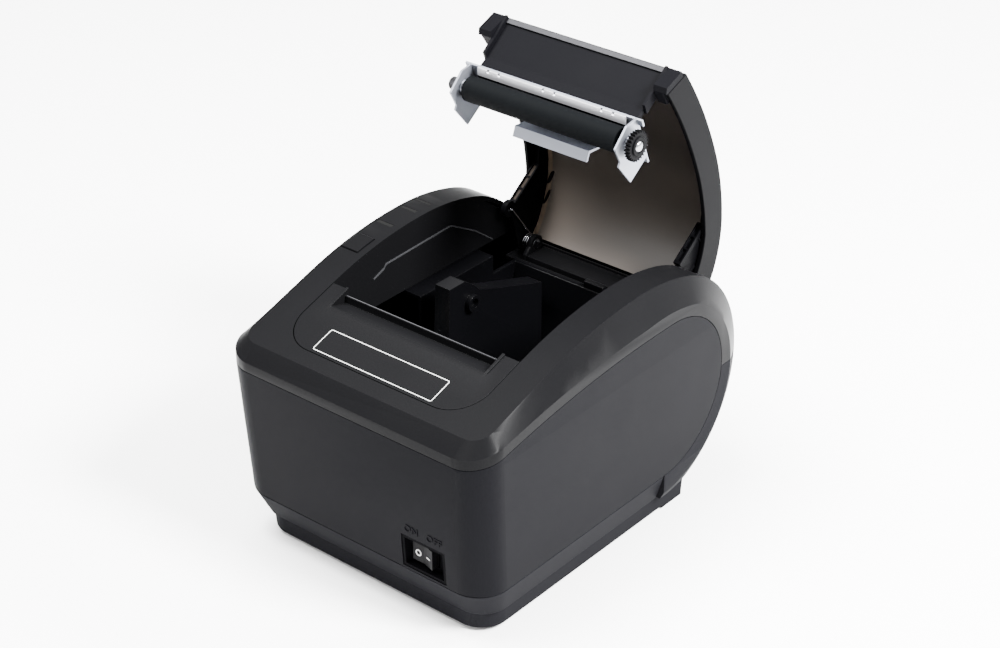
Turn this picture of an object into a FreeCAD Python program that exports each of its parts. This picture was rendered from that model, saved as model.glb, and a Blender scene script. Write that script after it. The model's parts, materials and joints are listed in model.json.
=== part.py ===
import FreeCAD, Part
import math
import os
import re
import types

import Sketcher
from FreeCAD import Placement, Rotation, Vector

# A receipt printer with its paper cover raised: case, controls, electronics, print mechanism and cover.
# Millimetres. +Z is up, +X is the printer's right, the front looks towards -Y and the desk is at Z = 0.
# A depth is a distance behind the front face, and a height is a distance above the desk.

# Driving dimensions, written once each
SIZES = {
    # case
    "arm_wide": 20.1,
    "side_draft": 1.8,
    "front_draft": 4.2,
    "corner_round": 15.0,
    "wall": 2.5,
    "seam_gap": 0.3,
    "origin_depth": 97.03,
    "round_depth": 129.4,
    "round_height": 64.2,
    "panel_round": 39.6,
    "case_round": 56.5,
    "crown_depth": 112.0,
    "crown_rise": 2.7,
    "crown_arc": 207.0,
    "deck_joint": 50.0,
    "seam_front": 89.5,
    "seam_bulge": 4.0,
    "side_band": 5.7,
    "front_band": 4.7,
    "ridge_inset": 5.5,
    "bevel_back": 6.7,
    "bevel_grow": 2.0,
    "arm_sink": 1.0,
    "opening_half": 52.4,
    "rim_height": 90.0,
    # base
    "foot_height": 2.0,
    "foot_radius": 6.0,
    "foot_inset": 13.0,
    "skirt_inset": 7.0,
    "skirt_front": 11.7,
    "heel_room": 11.0,
    "skirt_height": 11.0,
    "skirt_taper": 0.6,
    "skirt_ledge": 1.2,
    "skirt_round": 13.0,
    "floor_thick": 2.5,
    "heel_length": 15.0,
    "heel_width": 14.0,
    "heel_drop": 1.5,
    "screw_radius": 1.5,
    "screw_head": 2.8,
    # deck cover
    "deck_front": 14.0,
    "deck_rear": 49.6,
    "deck_thick": 2.4,
    "deck_gap": 0.4,
    "deck_round": 17.0,
    "deck_lip": 3.5,
    "rib_half": 43.0,
    "rib_thick": 1.4,
    "rib_rise": 1.6,
    "rib_front": 36.5,
    "recess_front": 38.5,
    "recess_drop": 4.6,
    "slot_edge": 47.0,
    "slot_edge_thick": 1.2,
    "slot_edge_drop": 1.2,
    # paper bin
    "bin_half": 43.0,
    "bin_wall": 2.0,
    "bin_round": 42.0,
    "bin_depth": 118.0,
    "bin_height": 67.0,
    "bin_front": 66.0,
    "bin_front_top": 63.0,
    "bin_rear": 163.0,
    "bin_rear_top": 80.5,
    "flange_front": 96.0,
    "flange_rear": 147.0,
    # roll divider
    "divider_left": -29.0,
    "divider_thick": 8.5,
    "divider_wall": 1.6,
    "divider_front": 90.0,
    "divider_foot": 86.5,
    "divider_top": 104.0,
    "divider_step": 92.0,
    "boss_radius": 4.0,
    "boss_bore": 2.4,
    "boss_rise": 2.5,
    "boss_back": 14.0,
    "divider_crest": 10.0,
    "divider_fall": 16.0,
    "divider_knee": 20.0,
    "divider_tail": 30.0,
    "divider_drop": 4.0,
    "divider_back": 8.0,
    # cover hinge
    "hinge_depth": 174.5,
    "hinge_height": 86.0,
    "open_angle": 68.3,
    "pin_radius": 2.5,
    "pin_clearance": 0.05,
    "barrel_radius": 5.2,
    "bracket_inner": 39.4,
    "bracket_thick": 2.2,
    "cheek_gap": 0.6,
    "cheek_inner": 46.4,
    "cheek_thick": 2.4,
    "coil_radius": 3.6,
    "coil_wire": 0.45,
    "coil_turns": 3.0,
    "coil_leg": 22.9,
    "coil_lean": 195.2,
    "coil_bend": 1.2,
    "lug_radius": 4.0,
    "lug_hole": 1.8,
    "strut_top": 145.0,
    "strut_top_height": 108.0,
    "strut_thick": 2.4,
    "strut_inner": 45.4,
    "strut_outer": 49.2,
    "cell_deep": 1.2,
    "cell_rim": 0.8,
    "cell_count": 3.0,
    "lattice_thick": 0.8,
    "lattice_first": 159.0,
    "lattice_second": 166.0,
    "lattice_height": 102.0,
    "beam_front": 166.6,
    "beam_top": 83.0,
    "beam_half": 39.0,
    "ledge_half": 51.0,
    "ledge_rear": 179.6,
    "ledge_low": 78.0,
    "ledge_top": 80.2,
    "hinge_sweep": 7.2,
    "tail_drop": 2.8,
    "ear_wall": 2.0,
    "sensor_left": -2.5,
    "sensor_right": 8.5,
    "sensor_tall": 3.7,
    # cover
    "lid_gap": 0.8,
    "lid_wall": 2.2,
    "lid_skirt": 14.0,
    "lid_front": 60.0,
    "lid_tail": 91.0,
    "nose_top_depth": 58.7,
    "nose_foot_depth": 64.6,
    "nose_foot": 95.0,
    "nose_thick": 2.4,
    "nose_half": 43.0,
    "fin_thick": 1.5,
    "fin_rise": 2.4,
    "block_front": 57.0,
    "block_rear": 67.0,
    "block_tall": 12.5,
    "tear_thick": 0.8,
    "tear_tall": 2.2,
    "tear_pitch": 1.0,
    "tear_tooth": 0.35,
    # platen and its bracket
    "platen_depth": 69.5,
    "platen_height": 79.2,
    "rubber_radius": 5.85,
    "rubber_half": 41.75,
    "shaft_radius": 2.4,
    "shaft_half": 51.8,
    "bush_radius": 3.8,
    "knurl_radius": 3.0,
    "ear_inner": 44.6,
    "sheet": 1.0,
    "bracket_front": 62.7,
    "bracket_rear": 88.0,
    "bracket_height": 87.0,
    "ear_tip": 88.0,
    "ear_tip_height": 74.0,
    "strip_half": 48.4,
    "strip_rear": 66.0,
    "blade_front": 62.2,
    "blade_front_height": 86.05,
    "blade_rear": 65.9,
    "blade_rear_height": 84.8,
    "blade_thick": 0.85,
    "holder_front": 66.4,
    "holder_rear": 71.0,
    "holder_tall": 1.4,
    "blade_half": 40.5,
    "blade_notch": 1.3,
    "notch_spread": 3.1,
    "notch_left": -31.6,
    "notch_middle": -0.8,
    "notch_right": 30.8,
    "guide_left": -19.0,
    "guide_right": 22.0,
    "guide_drop": 9.0,
    "guide_back": 5.4,
    "guide_lip": 3.8,
    "lip_drop": 3.4,
    # print mechanism
    "frame_gap": 0.7,
    "frame_front": 30.0,
    "frame_rear": 82.0,
    "frame_foot": 52.0,
    "frame_top": 99.0,
    "head_gap": 0.6,
    "head_thick": 2.0,
    "head_rise": 7.0,
    "head_half": 42.0,
    "sink_thick": 6.0,
    "spring_radius": 3.0,
    "spring_wall": 5.0,
    "spring_room": 2.0,
    "drive_turn": 213.7,
    "motor_turn": 195.4,
    "motor_radius": 12.0,
    "motor_length": 16.0,
    "gear_width": 2.6,
    "gear_gap": 0.35,
    "tooth": 0.5,
    "tip_share": 0.9,
    "root_share": 1.15,
    "backlash": 0.15,
    "pinion_teeth": 16.0,
    "drive_teeth": 38.0,
    "platen_teeth": 26.0,
    "cutter_height": 84.0,
    "cutter_thick": 1.0,
    "cutter_rear": 56.0,
    "cutter_length": 24.0,
    "cutter_room": 1.0,
    "cutter_teeth": 26.0,
    "cutter_vee": 2.0,
    "cutter_deck": 1.2,
    "cutter_gear_depth": 42.0,
    "rack_left": -30.0,
    "rack_width": 5.0,
    "rack_end": 3.0,
    "axle_radius": 1.5,
    "stud_radius": 2.0,
    "shaft_room": 0.3,
    "shaft_sink": 5.0,
    "bearing_deep": 6.0,
    "bearing_thick": 1.6,
    "bearing_half": 4.0,
    "bearing_rise": 3.5,
    "frame_leg": 14.0,
    "wall_rise": 3.0,
    "head_foot": 2.0,
    # controls
    "button_depth": 75.0,
    "button_length": 11.0,
    "button_width": 9.5,
    "button_tall": 4.0,
    "button_proud": 0.7,
    "button_travel": 1.0,
    "button_gap": 0.35,
    "button_inset": 11.5,
    "light_length": 2.0,
    "light_width": 9.0,
    "light_first": 93.0,
    "light_second": 109.0,
    "light_third": 118.8,
    "switch_centre": 38.5,
    "switch_height": 34.0,
    "switch_wide": 24.0,
    "switch_tall": 16.6,
    "switch_sink": 4.2,
    "rocker_shift": -1.9,
    "rocker_wide": 12.2,
    "rocker_tall": 9.6,
    "rocker_tilt": 8.0,
    "rocker_gap": 0.6,
    "rocker_deep": 2.0,
    "rocker_taper": 1.0,
    "pivot_radius": 1.0,
    "pivot_length": 1.0,
    "key_front": 8.0,
    "key_rear": 6.0,
    "key_rise": 14.0,
    "key_room": 6.6,
    # electronics
    "board_height": 9.0,
    "board_thick": 1.6,
    "board_half": 44.0,
    "board_front": 50.0,
    "panel_behind": 23.0,
    "panel_thick": 2.0,
    "recess_half": 50.0,
    "post_inset": 4.0,
    "post_front": 5.0,
    "post_rear": 20.0,
    "socket_length": 14.0,
    "socket_proud": 2.0,
    "socket_deep": 9.0,
    "inlet_middle": -37.0,
    "inlet_wide": 14.0,
    "inlet_tall": 12.0,
    "inlet_rim": 3.0,
    "data_middle": -16.0,
    "data_wide": 12.0,
    "data_tall": 10.8,
    "data_rim": 1.6,
    "network_middle": 6.0,
    "network_wide": 16.0,
    "network_tall": 12.2,
    "network_rim": 2.0,
    "drawer_middle": 27.0,
    "drawer_wide": 13.4,
    "drawer_tall": 12.0,
    "drawer_rim": 2.0,
}


def derived(size):
    """Places that follow from the driving dimensions, so that pieces which meet share one value."""
    place = {}
    place["front"] = -size.origin_depth
    place["half"] = size.opening_half + size.arm_wide
    place["button_side"] = place["half"] - size.button_inset
    place["skirt_half"] = place["half"] - size.skirt_inset
    place["rocker_middle"] = size.switch_centre + size.rocker_shift
    place["panel_depth"] = size.bin_depth + size.panel_behind
    place["skirt_rear"] = place["panel_depth"] + size.heel_room
    tub = size.bin_round + size.bin_wall
    under_tub = size.bin_height - math.sqrt(tub ** 2 - (size.panel_behind - size.panel_thick) ** 2)
    place["panel_top"] = under_tub - size.seam_gap
    place["recess_top"] = place["panel_top"] - size.wall / 2
    place["seam_low"] = size.round_height - size.panel_round
    place["lid_half"] = size.opening_half - size.lid_gap
    place["hinge_y"] = size.hinge_depth - size.origin_depth
    place["platen_y"] = size.platen_depth - size.origin_depth
    place["bracket_outer"] = size.bracket_inner + size.bracket_thick
    place["cheek_outer"] = size.cheek_inner + size.cheek_thick
    place["pin_tip"] = place["cheek_outer"] + size.cheek_gap
    place["ear_outer"] = size.ear_inner + size.sheet
    place["frame_inner"] = place["ear_outer"] + size.frame_gap
    place["frame_outer"] = place["frame_inner"] + size.sheet
    place["gear_inner"] = place["frame_outer"] + size.frame_gap
    place["gear_outer"] = place["gear_inner"] + size.gear_width
    place["head_face"] = place["platen_y"] - size.rubber_radius - size.head_gap
    near = (size.pinion_teeth + size.drive_teeth) * size.tooth / 2 + size.backlash
    tips = (size.platen_teeth + size.drive_teeth) * size.tooth / 2 + 2 * size.tip_share * size.tooth
    drive_turn = math.radians(size.drive_turn)
    motor_turn = math.radians(size.motor_turn)
    place["drive_depth"] = size.platen_depth + (tips + size.gear_gap) * math.cos(drive_turn)
    place["drive_height"] = size.platen_height + (tips + size.gear_gap) * math.sin(drive_turn)
    place["motor_depth"] = place["drive_depth"] + near * math.cos(motor_turn)
    place["motor_height"] = place["drive_height"] + near * math.sin(motor_turn)
    place["drive_y"] = place["drive_depth"] - size.origin_depth
    place["motor_y"] = place["motor_depth"] - size.origin_depth
    place["rack_top"] = size.cutter_height + size.cutter_thick + 2.5 * size.tooth
    fall = size.blade_front_height - size.blade_rear_height
    length = math.hypot(size.blade_rear - size.blade_front, fall)
    place["blade_back"] = size.blade_thick * fall / length
    place["blade_rise"] = size.blade_thick * (size.blade_rear - size.blade_front) / length
    place["guide_bend"] = size.bracket_rear - size.sheet / 2 - size.guide_back
    place["guide_low"] = size.bracket_height - size.guide_drop
    place["cutter_gear_y"] = size.cutter_gear_depth - size.origin_depth
    place["board_top"] = size.board_height + size.board_thick
    place["panel_y"] = place["panel_depth"] - size.origin_depth
    place["floor_top"] = size.foot_height + size.floor_thick
    return place


size = types.SimpleNamespace(**SIZES)
for word, value in derived(size).items():
    setattr(size, word, value)

doc = FreeCAD.newDocument("receipt_printer")
sheet = doc.addObject("Spreadsheet::Sheet", "sizes")
for row, (word, value) in enumerate(vars(size).items(), start=1):
    sheet.set("A%d" % row, word)
    sheet.set("B%d" % row, repr(value))
    sheet.setAlias("B%d" % row, word)
doc.recompute()

NODES = []


def formula(text):
    """A formula of sheet words, as an expression of the sheet's cells."""
    return re.sub(r"[a-z][a-z_]*", lambda hit: "sizes." + hit.group(0), text)


def node(thing, label):
    """Names a finished piece and lists it for writing."""
    thing.Label = label
    NODES.append(thing)
    return thing


def block(name, x, y, z):
    """A box between a low and a high formula on each axis."""
    thing = doc.addObject("Part::Box", name)
    for prop, axis, (low, high) in zip(("Length", "Width", "Height"), "xyz", (x, y, z)):
        thing.setExpression(prop, formula("(%s) - (%s)" % (high, low)))
        thing.setExpression("Placement.Base." + axis, formula(low))
    return thing


TURNS = {
    "x": Rotation(Vector(0, 1, 0), 90),
    "y": Rotation(Vector(1, 0, 0), -90),
    "z": Rotation(),
}


def rod(name, axis, radius, low, high, at):
    """A round bar along one axis from a low to a high formula; at gives its place on the other two axes."""
    thing = doc.addObject("Part::Cylinder", name)
    thing.Placement = Placement(Vector(), TURNS[axis])
    thing.setExpression("Radius", formula(radius))
    thing.setExpression("Height", formula("(%s) - (%s)" % (high, low)))
    thing.setExpression("Placement.Base." + axis, formula(low))
    for other, place in zip("xyz".replace(axis, ""), at):
        thing.setExpression("Placement.Base." + other, formula(place))
    return thing


def cut(name, base, *tools):
    """The base with every tool taken away."""
    tool = tools[0] if len(tools) == 1 else fuse(name + "_tools", *tools)
    thing = doc.addObject("Part::Cut", name)
    thing.Base = base
    thing.Tool = tool
    return thing


def fuse(name, *pieces):
    """Pieces joined into one."""
    thing = doc.addObject("Part::MultiFuse", name)
    thing.Shapes = list(pieces)
    return thing


def group(name, *pieces):
    """Separate solids kept together in one node."""
    thing = doc.addObject("Part::Compound", name)
    thing.Links = list(pieces)
    return thing


PLANES = {"x": "YZ_Plane", "y": "XZ_Plane", "z": "XY_Plane"}


def plate(name, axis, low, high, points):
    """A flat outline of corner formulas, padded along one axis from a low to a high formula.

    The outline of an x plate is in (y, z), of a y plate in (x, z) and of a z plate in (x, y).
    """
    body = doc.addObject("PartDesign::Body", name)
    sketch = body.newObject("Sketcher::SketchObject", name + "_outline")
    plane = [item for item in body.Origin.OriginFeatures if item.Role == PLANES[axis]][0]
    sketch.AttachmentSupport = [(plane, "")]
    sketch.MapMode = "FlatFace"
    count = len(points)
    turns = [2 * math.pi * i / count for i in range(count)]
    rough = [Vector(math.cos(turn), math.sin(turn), 0) for turn in turns]
    for i in range(count):
        sketch.addGeometry(Part.LineSegment(rough[i], rough[(i + 1) % count]), False)
    for i in range(count):
        sketch.addConstraint(Sketcher.Constraint("Coincident", i, 2, (i + 1) % count, 1))
    for i, corner in enumerate(points):
        for kind, text in zip(("DistanceX", "DistanceY"), corner):
            index = sketch.addConstraint(Sketcher.Constraint(kind, -1, 1, i, 1, 1.0))
            sketch.setExpression("Constraints[%d]" % index, formula(text))
    pad = body.newObject("PartDesign::Pad", name + "_pad")
    pad.Profile = sketch
    pad.setExpression("Length", formula("(%s) - (%s)" % (high, low)))
    if axis == "y":
        sketch.setExpression("AttachmentOffset.Base.z", formula("-(%s)" % low))
        pad.Reversed = True
    else:
        sketch.setExpression("AttachmentOffset.Base.z", formula(low))
    return body


def solid(name, shape, place=None):
    """A piece whose shape is worked out here from the sheet's values."""
    thing = doc.addObject("Part::Feature", name)
    thing.Shape = shape
    if place:
        thing.Placement = place
    return thing


# Case forms

DECK_RISE = math.sqrt(size.crown_arc ** 2 - (size.crown_depth - size.deck_joint) ** 2)
CROWN = size.round_height + size.case_round + size.crown_rise
SLOPE = (size.crown_depth - size.deck_joint) / DECK_RISE
JOINT = CROWN - size.crown_arc + DECK_RISE


def deck(depth):
    """Height of the straight deck at a depth."""
    return JOINT - (size.deck_joint - depth) * SLOPE


def point(depth, height, x=0.0):
    return Vector(x, depth + size.front, height)


def line(start, end):
    return Part.LineSegment(start, end).toShape()


def arc(start, middle, end):
    """An arc through three points, or a line where they lie in a row."""
    if (middle - start).cross(end - start).Length < 1e-6:
        return line(start, end)
    return Part.Arc(start, middle, end).toShape()


def rear_arc():
    """Radius of the arc behind the crown that runs into the rear round, and the depth where they meet."""
    run = size.round_depth - size.crown_depth
    rise = size.case_round + size.crown_rise
    radius = (run ** 2 + rise ** 2 - size.case_round ** 2) / (2 * size.crown_rise)
    share = size.case_round / (radius - size.case_round)
    return radius, size.round_depth + run * share


REAR_ARC, REAR_JOINT = rear_arc()


def skin(depth):
    """Height of the arms' and the closed cover's outer skin at a depth."""
    if depth < size.deck_joint:
        return deck(depth)
    if depth < size.crown_depth:
        return CROWN - size.crown_arc + math.sqrt(size.crown_arc ** 2 - (size.crown_depth - depth) ** 2)
    if depth < REAR_JOINT:
        return CROWN - REAR_ARC + math.sqrt(REAR_ARC ** 2 - (depth - size.crown_depth) ** 2)
    return size.round_height + math.sqrt(size.case_round ** 2 - (depth - size.round_depth) ** 2)


def band_top(depth):
    """Height of the top of the upright side band at a depth."""
    if depth >= size.round_depth:
        radius = size.panel_round + size.side_band
        return size.round_height + math.sqrt(radius ** 2 - (depth - size.round_depth) ** 2)
    share = depth / size.round_depth
    start = size.seam_front + size.front_band
    end = size.round_height + size.panel_round + size.side_band
    return start + (end - start) * share + 4 * size.seam_bulge * share * (1 - share)


def outline(height, radius, inset, bevel, x):
    """A closed side outline of the case at one x: front, bevel, top in three arcs, rear round and bottom."""
    start = size.seam_front + size.front_band
    depths = (bevel, size.deck_joint, size.crown_depth, REAR_JOINT)
    tops = [point(depth + inset if depth == bevel else depth, height(depth) - inset, x) for depth in depths]
    foot = point(inset, size.round_height - radius + inset, x)
    brow = point(inset, min(start, height(bevel) - bevel / 4) - inset, x)
    edges = [line(foot, brow), line(brow, tops[0])]
    for i in range(3):
        middle = (depths[i] + depths[i + 1]) / 2
        edges.append(arc(tops[i], point(middle, height(middle) - inset, x), tops[i + 1]))
    round_radius = radius - inset
    rear = point(size.round_depth + round_radius, size.round_height, x)
    lift = math.atan2(tops[3].z - size.round_height, REAR_JOINT - size.round_depth) / 2
    middle = point(size.round_depth + round_radius * math.cos(lift),
                   size.round_height + round_radius * math.sin(lift), x)
    edges.append(arc(tops[3], middle, rear))
    low = math.sqrt(0.5) * round_radius
    heel = point(size.round_depth, size.round_height - round_radius, x)
    middle = point(size.round_depth + low, size.round_height - low, x)
    edges.append(arc(rear, middle, heel))
    edges.append(line(heel, foot))
    return Part.Wire(edges)


def rounded(half, front, rear, radius, height, lean=0.0):
    """A plan outline with rounded front corners, at one height or rising from it with depth."""
    corner = radius * (1 - math.sqrt(0.5))

    def spot(depth, x):
        return point(depth, height + lean * (depth - front), x)

    a = spot(rear, -half)
    b = spot(front + radius, -half)
    c = spot(front, -half + radius)
    d = spot(front, half - radius)
    e = spot(front + radius, half)
    f = spot(rear, half)
    return Part.Wire([
        line(a, b),
        arc(b, spot(front + corner, -half + corner), c),
        line(c, d),
        arc(d, spot(front + corner, half - corner), e),
        line(e, f),
        line(f, a),
    ])


FAR = 400.0
HINGE = (size.hinge_depth, size.hinge_height)


def drafted(inset):
    """The drafted prism that the front and side panels lie on, with rounded upright front corners."""
    radius = size.corner_round - inset
    low = rounded(size.half - size.side_draft - inset, size.front_draft + inset, FAR, radius, size.seam_low)
    high = rounded(size.half - inset, inset, FAR, radius, size.seam_front)
    below = rounded(size.half - size.side_draft - inset, size.front_draft + inset, FAR, radius, 0)
    above = rounded(size.half - inset, inset, FAR, radius, FAR)
    middle = Part.makeLoft([low, high], True, True)
    foot = Part.makeLoft([below, low], True, True)
    head = Part.makeLoft([high, above], True, True)
    return foot.fuse([middle, head]).removeSplitter()


def case_form(inset):
    """The whole case form: the side outline across the middle, bevelled towards both sides."""
    ridge = size.half - size.ridge_inset
    edge = size.half + 0.01
    low_radius = size.panel_round + size.side_band
    wires = [
        outline(band_top, low_radius, inset, size.seam_gap, -(edge - inset)),
        outline(skin, size.case_round, inset, size.bevel_back, -(ridge - inset / 2)),
        outline(skin, size.case_round, inset, size.bevel_back, ridge - inset / 2),
        outline(band_top, low_radius, inset, size.seam_gap, edge - inset),
    ]
    spans = [Part.makeLoft([wires[i], wires[i + 1]], True, True) for i in range(3)]
    return spans[0].fuse(spans[1:]).common(drafted(inset)).cut(corner_waste(inset))


def corner_waste(inset):
    """What is taken off above the front corners, so that the bevel runs round them."""
    grow = size.bevel_grow
    back = size.bevel_back
    start = size.seam_front + size.front_band
    fall = grow * (deck(back) - start) / back
    lean = (band_top(size.corner_round) - start) / size.corner_round
    deep = 2 * size.corner_round
    foot = start - inset - fall
    low = rounded(size.half - inset + grow, inset - grow, deep, size.corner_round - inset + grow, foot, lean)
    high = rounded(size.half - size.ridge_inset - inset / 2, back + inset, deep, size.corner_round - back,
                   deck(back + inset) - inset, SLOPE)
    bevel = Part.makeLoft([low, high], True, True)
    level = foot + lean * (grow - inset)
    below = prism((-FAR, FAR), (
        (-FAR, level - lean * FAR), (FAR, level + lean * FAR), (FAR, -FAR), (-FAR, -FAR)))
    zone = slab((size.half - size.corner_round, FAR), (-FAR, size.corner_round), (size.seam_front, FAR))
    return [corner.cut([bevel, below]) for corner in both(zone)]


def panel_prism(grow):
    """The side panel's outline carried across the case: flat foot, round rear and gently bowed top."""
    radius = size.panel_round + grow
    low = size.round_height - radius
    high = size.round_height + radius
    start = size.seam_front + grow
    bow = (start + high) / 2 + size.seam_bulge
    before = -FAR
    edges = [
        line(point(before, low, -FAR), point(size.round_depth, low, -FAR)),
        arc(point(size.round_depth, low, -FAR), point(size.round_depth + radius, size.round_height, -FAR),
            point(size.round_depth, high, -FAR)),
        arc(point(size.round_depth, high, -FAR), point(size.round_depth / 2, bow, -FAR),
            point(0, start, -FAR)),
        line(point(0, start, -FAR), point(before, start, -FAR)),
        line(point(before, start, -FAR), point(before, low, -FAR)),
    ]
    return Part.Face(Part.Wire(edges)).extrude(Vector(2 * FAR, 0, 0))


def slab(x, depth, height):
    """A plain box between bounds in x, depth and height."""
    low = point(depth[0], height[0], x[0])
    return Part.makeBox(x[1] - x[0], depth[1] - depth[0], height[1] - height[0], low)


def skin_strip(x, top, below, depth, lowest):
    """A strip under the outer skin between two distances below it, across x, within a depth range."""
    outer = Part.Face(outline(skin, size.case_round, top, size.bevel_back, x[0]))
    inner = Part.Face(outline(skin, size.case_round, below, size.bevel_back, x[0]))
    strip = outer.cut(inner).extrude(Vector(x[1] - x[0], 0, 0))
    return strip.common(slab(x, depth, (lowest, FAR)))


def prism(x, corners):
    """A flat outline of (depth, height) corners carried across x."""
    path = [point(depth, height, x[0]) for depth, height in corners]
    return Part.Face(Part.makePolygon(path + path[:1])).extrude(Vector(x[1] - x[0], 0, 0))


def both(shape):
    """A shape and its mirror image on the other side of the middle."""
    return [shape, shape.mirror(Vector(0, 0, 0), Vector(1, 0, 0))]


OUTER = case_form(0.0)
INNER = case_form(size.wall)
SHELL = OUTER.cut(INNER)


def top_bezel():
    """The upper frame: deck surround, two arms with bevelled shoulders, and the wall behind the cover."""
    frame = SHELL.cut(panel_prism(size.seam_gap / 2))
    frame = frame.cut(slab((-FAR, FAR), (-FAR, FAR), (-FAR, size.round_height + size.seam_gap / 2)))
    sunk = size.arm_sink
    before_crown = size.crown_depth - size.deck_joint / 2
    arm = prism((size.opening_half, size.opening_half + size.wall), (
        (size.deck_front, deck(size.deck_front) - sunk),
        (size.deck_joint, JOINT - sunk),
        (before_crown, skin(before_crown) - sunk),
        (size.crown_depth, CROWN - sunk),
        (REAR_JOINT, skin(REAR_JOINT) - sunk),
        (size.hinge_depth, skin(size.hinge_depth) - sunk),
        (size.hinge_depth, size.rim_height + size.seam_gap),
        (size.deck_joint, size.rim_height + size.seam_gap),
        (size.deck_front, size.rim_height + size.seam_gap),
    ))
    lip_drop = size.deck_thick + size.seam_gap
    lip = prism((size.opening_half - size.deck_lip, size.opening_half + size.wall), (
        (size.deck_front, deck(size.deck_front) - lip_drop),
        (size.deck_rear, deck(size.deck_rear) - lip_drop),
        (size.deck_rear, deck(size.deck_rear) - lip_drop - size.wall),
        (size.deck_front, deck(size.deck_front) - lip_drop - size.wall),
    ))
    ledge = prism((-size.opening_half, size.opening_half), (
        (size.bevel_back, deck(size.bevel_back) - lip_drop),
        (size.deck_front + size.deck_lip, deck(size.deck_front + size.deck_lip) - lip_drop),
        (size.deck_front + size.deck_lip, deck(size.deck_front + size.deck_lip) - lip_drop - size.wall),
        (size.bevel_back, deck(size.bevel_back) - lip_drop - size.wall),
    ))
    tail = size.hinge_height - size.tail_drop
    sweep = across(size.hinge_sweep, -size.opening_half, size.opening_half, *HINGE)
    opening = slab((-size.opening_half, size.opening_half), (size.deck_rear, FAR), (tail, FAR))
    mouth = Part.Face(rounded(size.opening_half, size.deck_front, size.deck_rear + 1, size.deck_round, 0))
    mouth = mouth.extrude(Vector(0, 0, FAR))
    mouth = mouth.cut(prism((-FAR, FAR), (
        (-FAR, deck(-FAR) - lip_drop), (FAR, deck(FAR) - lip_drop), (FAR, -FAR), (-FAR, -FAR))))
    frame = frame.fuse(both(arm.common(OUTER))).cut([opening, mouth, sweep])
    return frame.fuse([ledge.common(OUTER)] + both(lip.common(OUTER))).cut(button_well()).removeSplitter()


def button_well():
    """Openings in the left arm for the feed button and the three status lights."""
    half = size.button_width / 2 + size.button_gap
    reach = size.button_length / 2 + size.button_gap
    low = skin(size.button_depth - reach) - size.button_tall - size.button_travel - size.wall
    x = -size.button_side
    wells = [slab((x - half, x + half), (size.button_depth - reach, size.button_depth + reach), (low, FAR))]
    for depth in (size.light_first, size.light_second, size.light_third):
        span = size.light_length / 2 + size.seam_gap / 2
        wide = size.light_width / 2 + size.seam_gap / 2
        wells.append(slab((x - wide, x + wide), (depth - span, depth + span), (low, FAR)))
    return wells


def main_shell():
    """The front and side panels in one wrap, with the switch opening at the lower right of the front."""
    wrap = drafted(0.0).cut(drafted(size.wall)).common(panel_prism(-size.seam_gap / 2))
    wide = size.switch_wide / 2
    tall = size.switch_tall / 2
    hole = slab((size.switch_centre - wide, size.switch_centre + wide), (-FAR, size.corner_round),
                (size.switch_height - tall, size.switch_height + tall))
    return wrap.cut(hole)


def rear_cover():
    """The lower rear housing: it runs on from the arms round the back, over a recess for the sockets."""
    low = size.skirt_height + size.seam_gap
    split = size.round_height - size.seam_gap / 2
    zone = slab((-FAR, FAR), (size.round_depth + size.seam_gap, FAR), (low, split))
    half = size.recess_half
    recess = slab((-half, half), (size.round_depth, FAR), (-FAR, size.recess_top))
    grown = slab((-half - size.wall, half + size.wall), (size.panel_depth, FAR),
                 (low, size.recess_top + size.wall))
    walls = SHELL.cut(panel_prism(size.seam_gap / 2)).common(zone)
    lining = grown.common(OUTER).common(zone).cut(panel_prism(size.seam_gap / 2))
    return walls.fuse(lining).cut(recess).removeSplitter()


def base_tray():
    """The bottom pan: a skirt that tapers downwards, a small ledge, and a band flaring up to the panels."""
    top = size.seam_low - size.seam_gap / 2
    foot = size.foot_height

    def skirt(inset, low, high):
        taper = size.skirt_taper
        below = rounded(size.skirt_half - taper - inset, size.skirt_front + taper + inset,
                        size.skirt_rear - inset, size.skirt_round - inset, low)
        above = rounded(size.skirt_half - inset, size.skirt_front + inset, size.skirt_rear - inset,
                        size.skirt_round - inset, high)
        return Part.makeLoft([below, above], True, True)

    def flare(inset, low, high):
        ledge = size.skirt_ledge
        below = rounded(size.skirt_half + ledge - inset, size.skirt_front - ledge + inset, size.round_depth,
                        size.skirt_round - inset, low)
        above = rounded(size.half - size.side_draft - inset, size.front_draft + inset, size.round_depth,
                        size.corner_round - inset, high)
        return Part.makeLoft([below, above], True, True)

    pan = skirt(0.0, foot, size.skirt_height).fuse(flare(0.0, size.skirt_height, top))
    hollow = skirt(size.wall, size.floor_top, size.skirt_height)
    pan = pan.cut([hollow, flare(size.wall, size.skirt_height, top + 1)])
    heels = []
    for side in (-1, 1):
        inner = size.skirt_half - size.skirt_taper - size.heel_width
        x = sorted((side * inner, side * (inner + size.heel_width)))
        heels.append(slab(x, (size.skirt_rear - size.heel_length, size.skirt_rear),
                          (foot - size.heel_drop, foot)))
    return pan.fuse(heels).removeSplitter()


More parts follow.
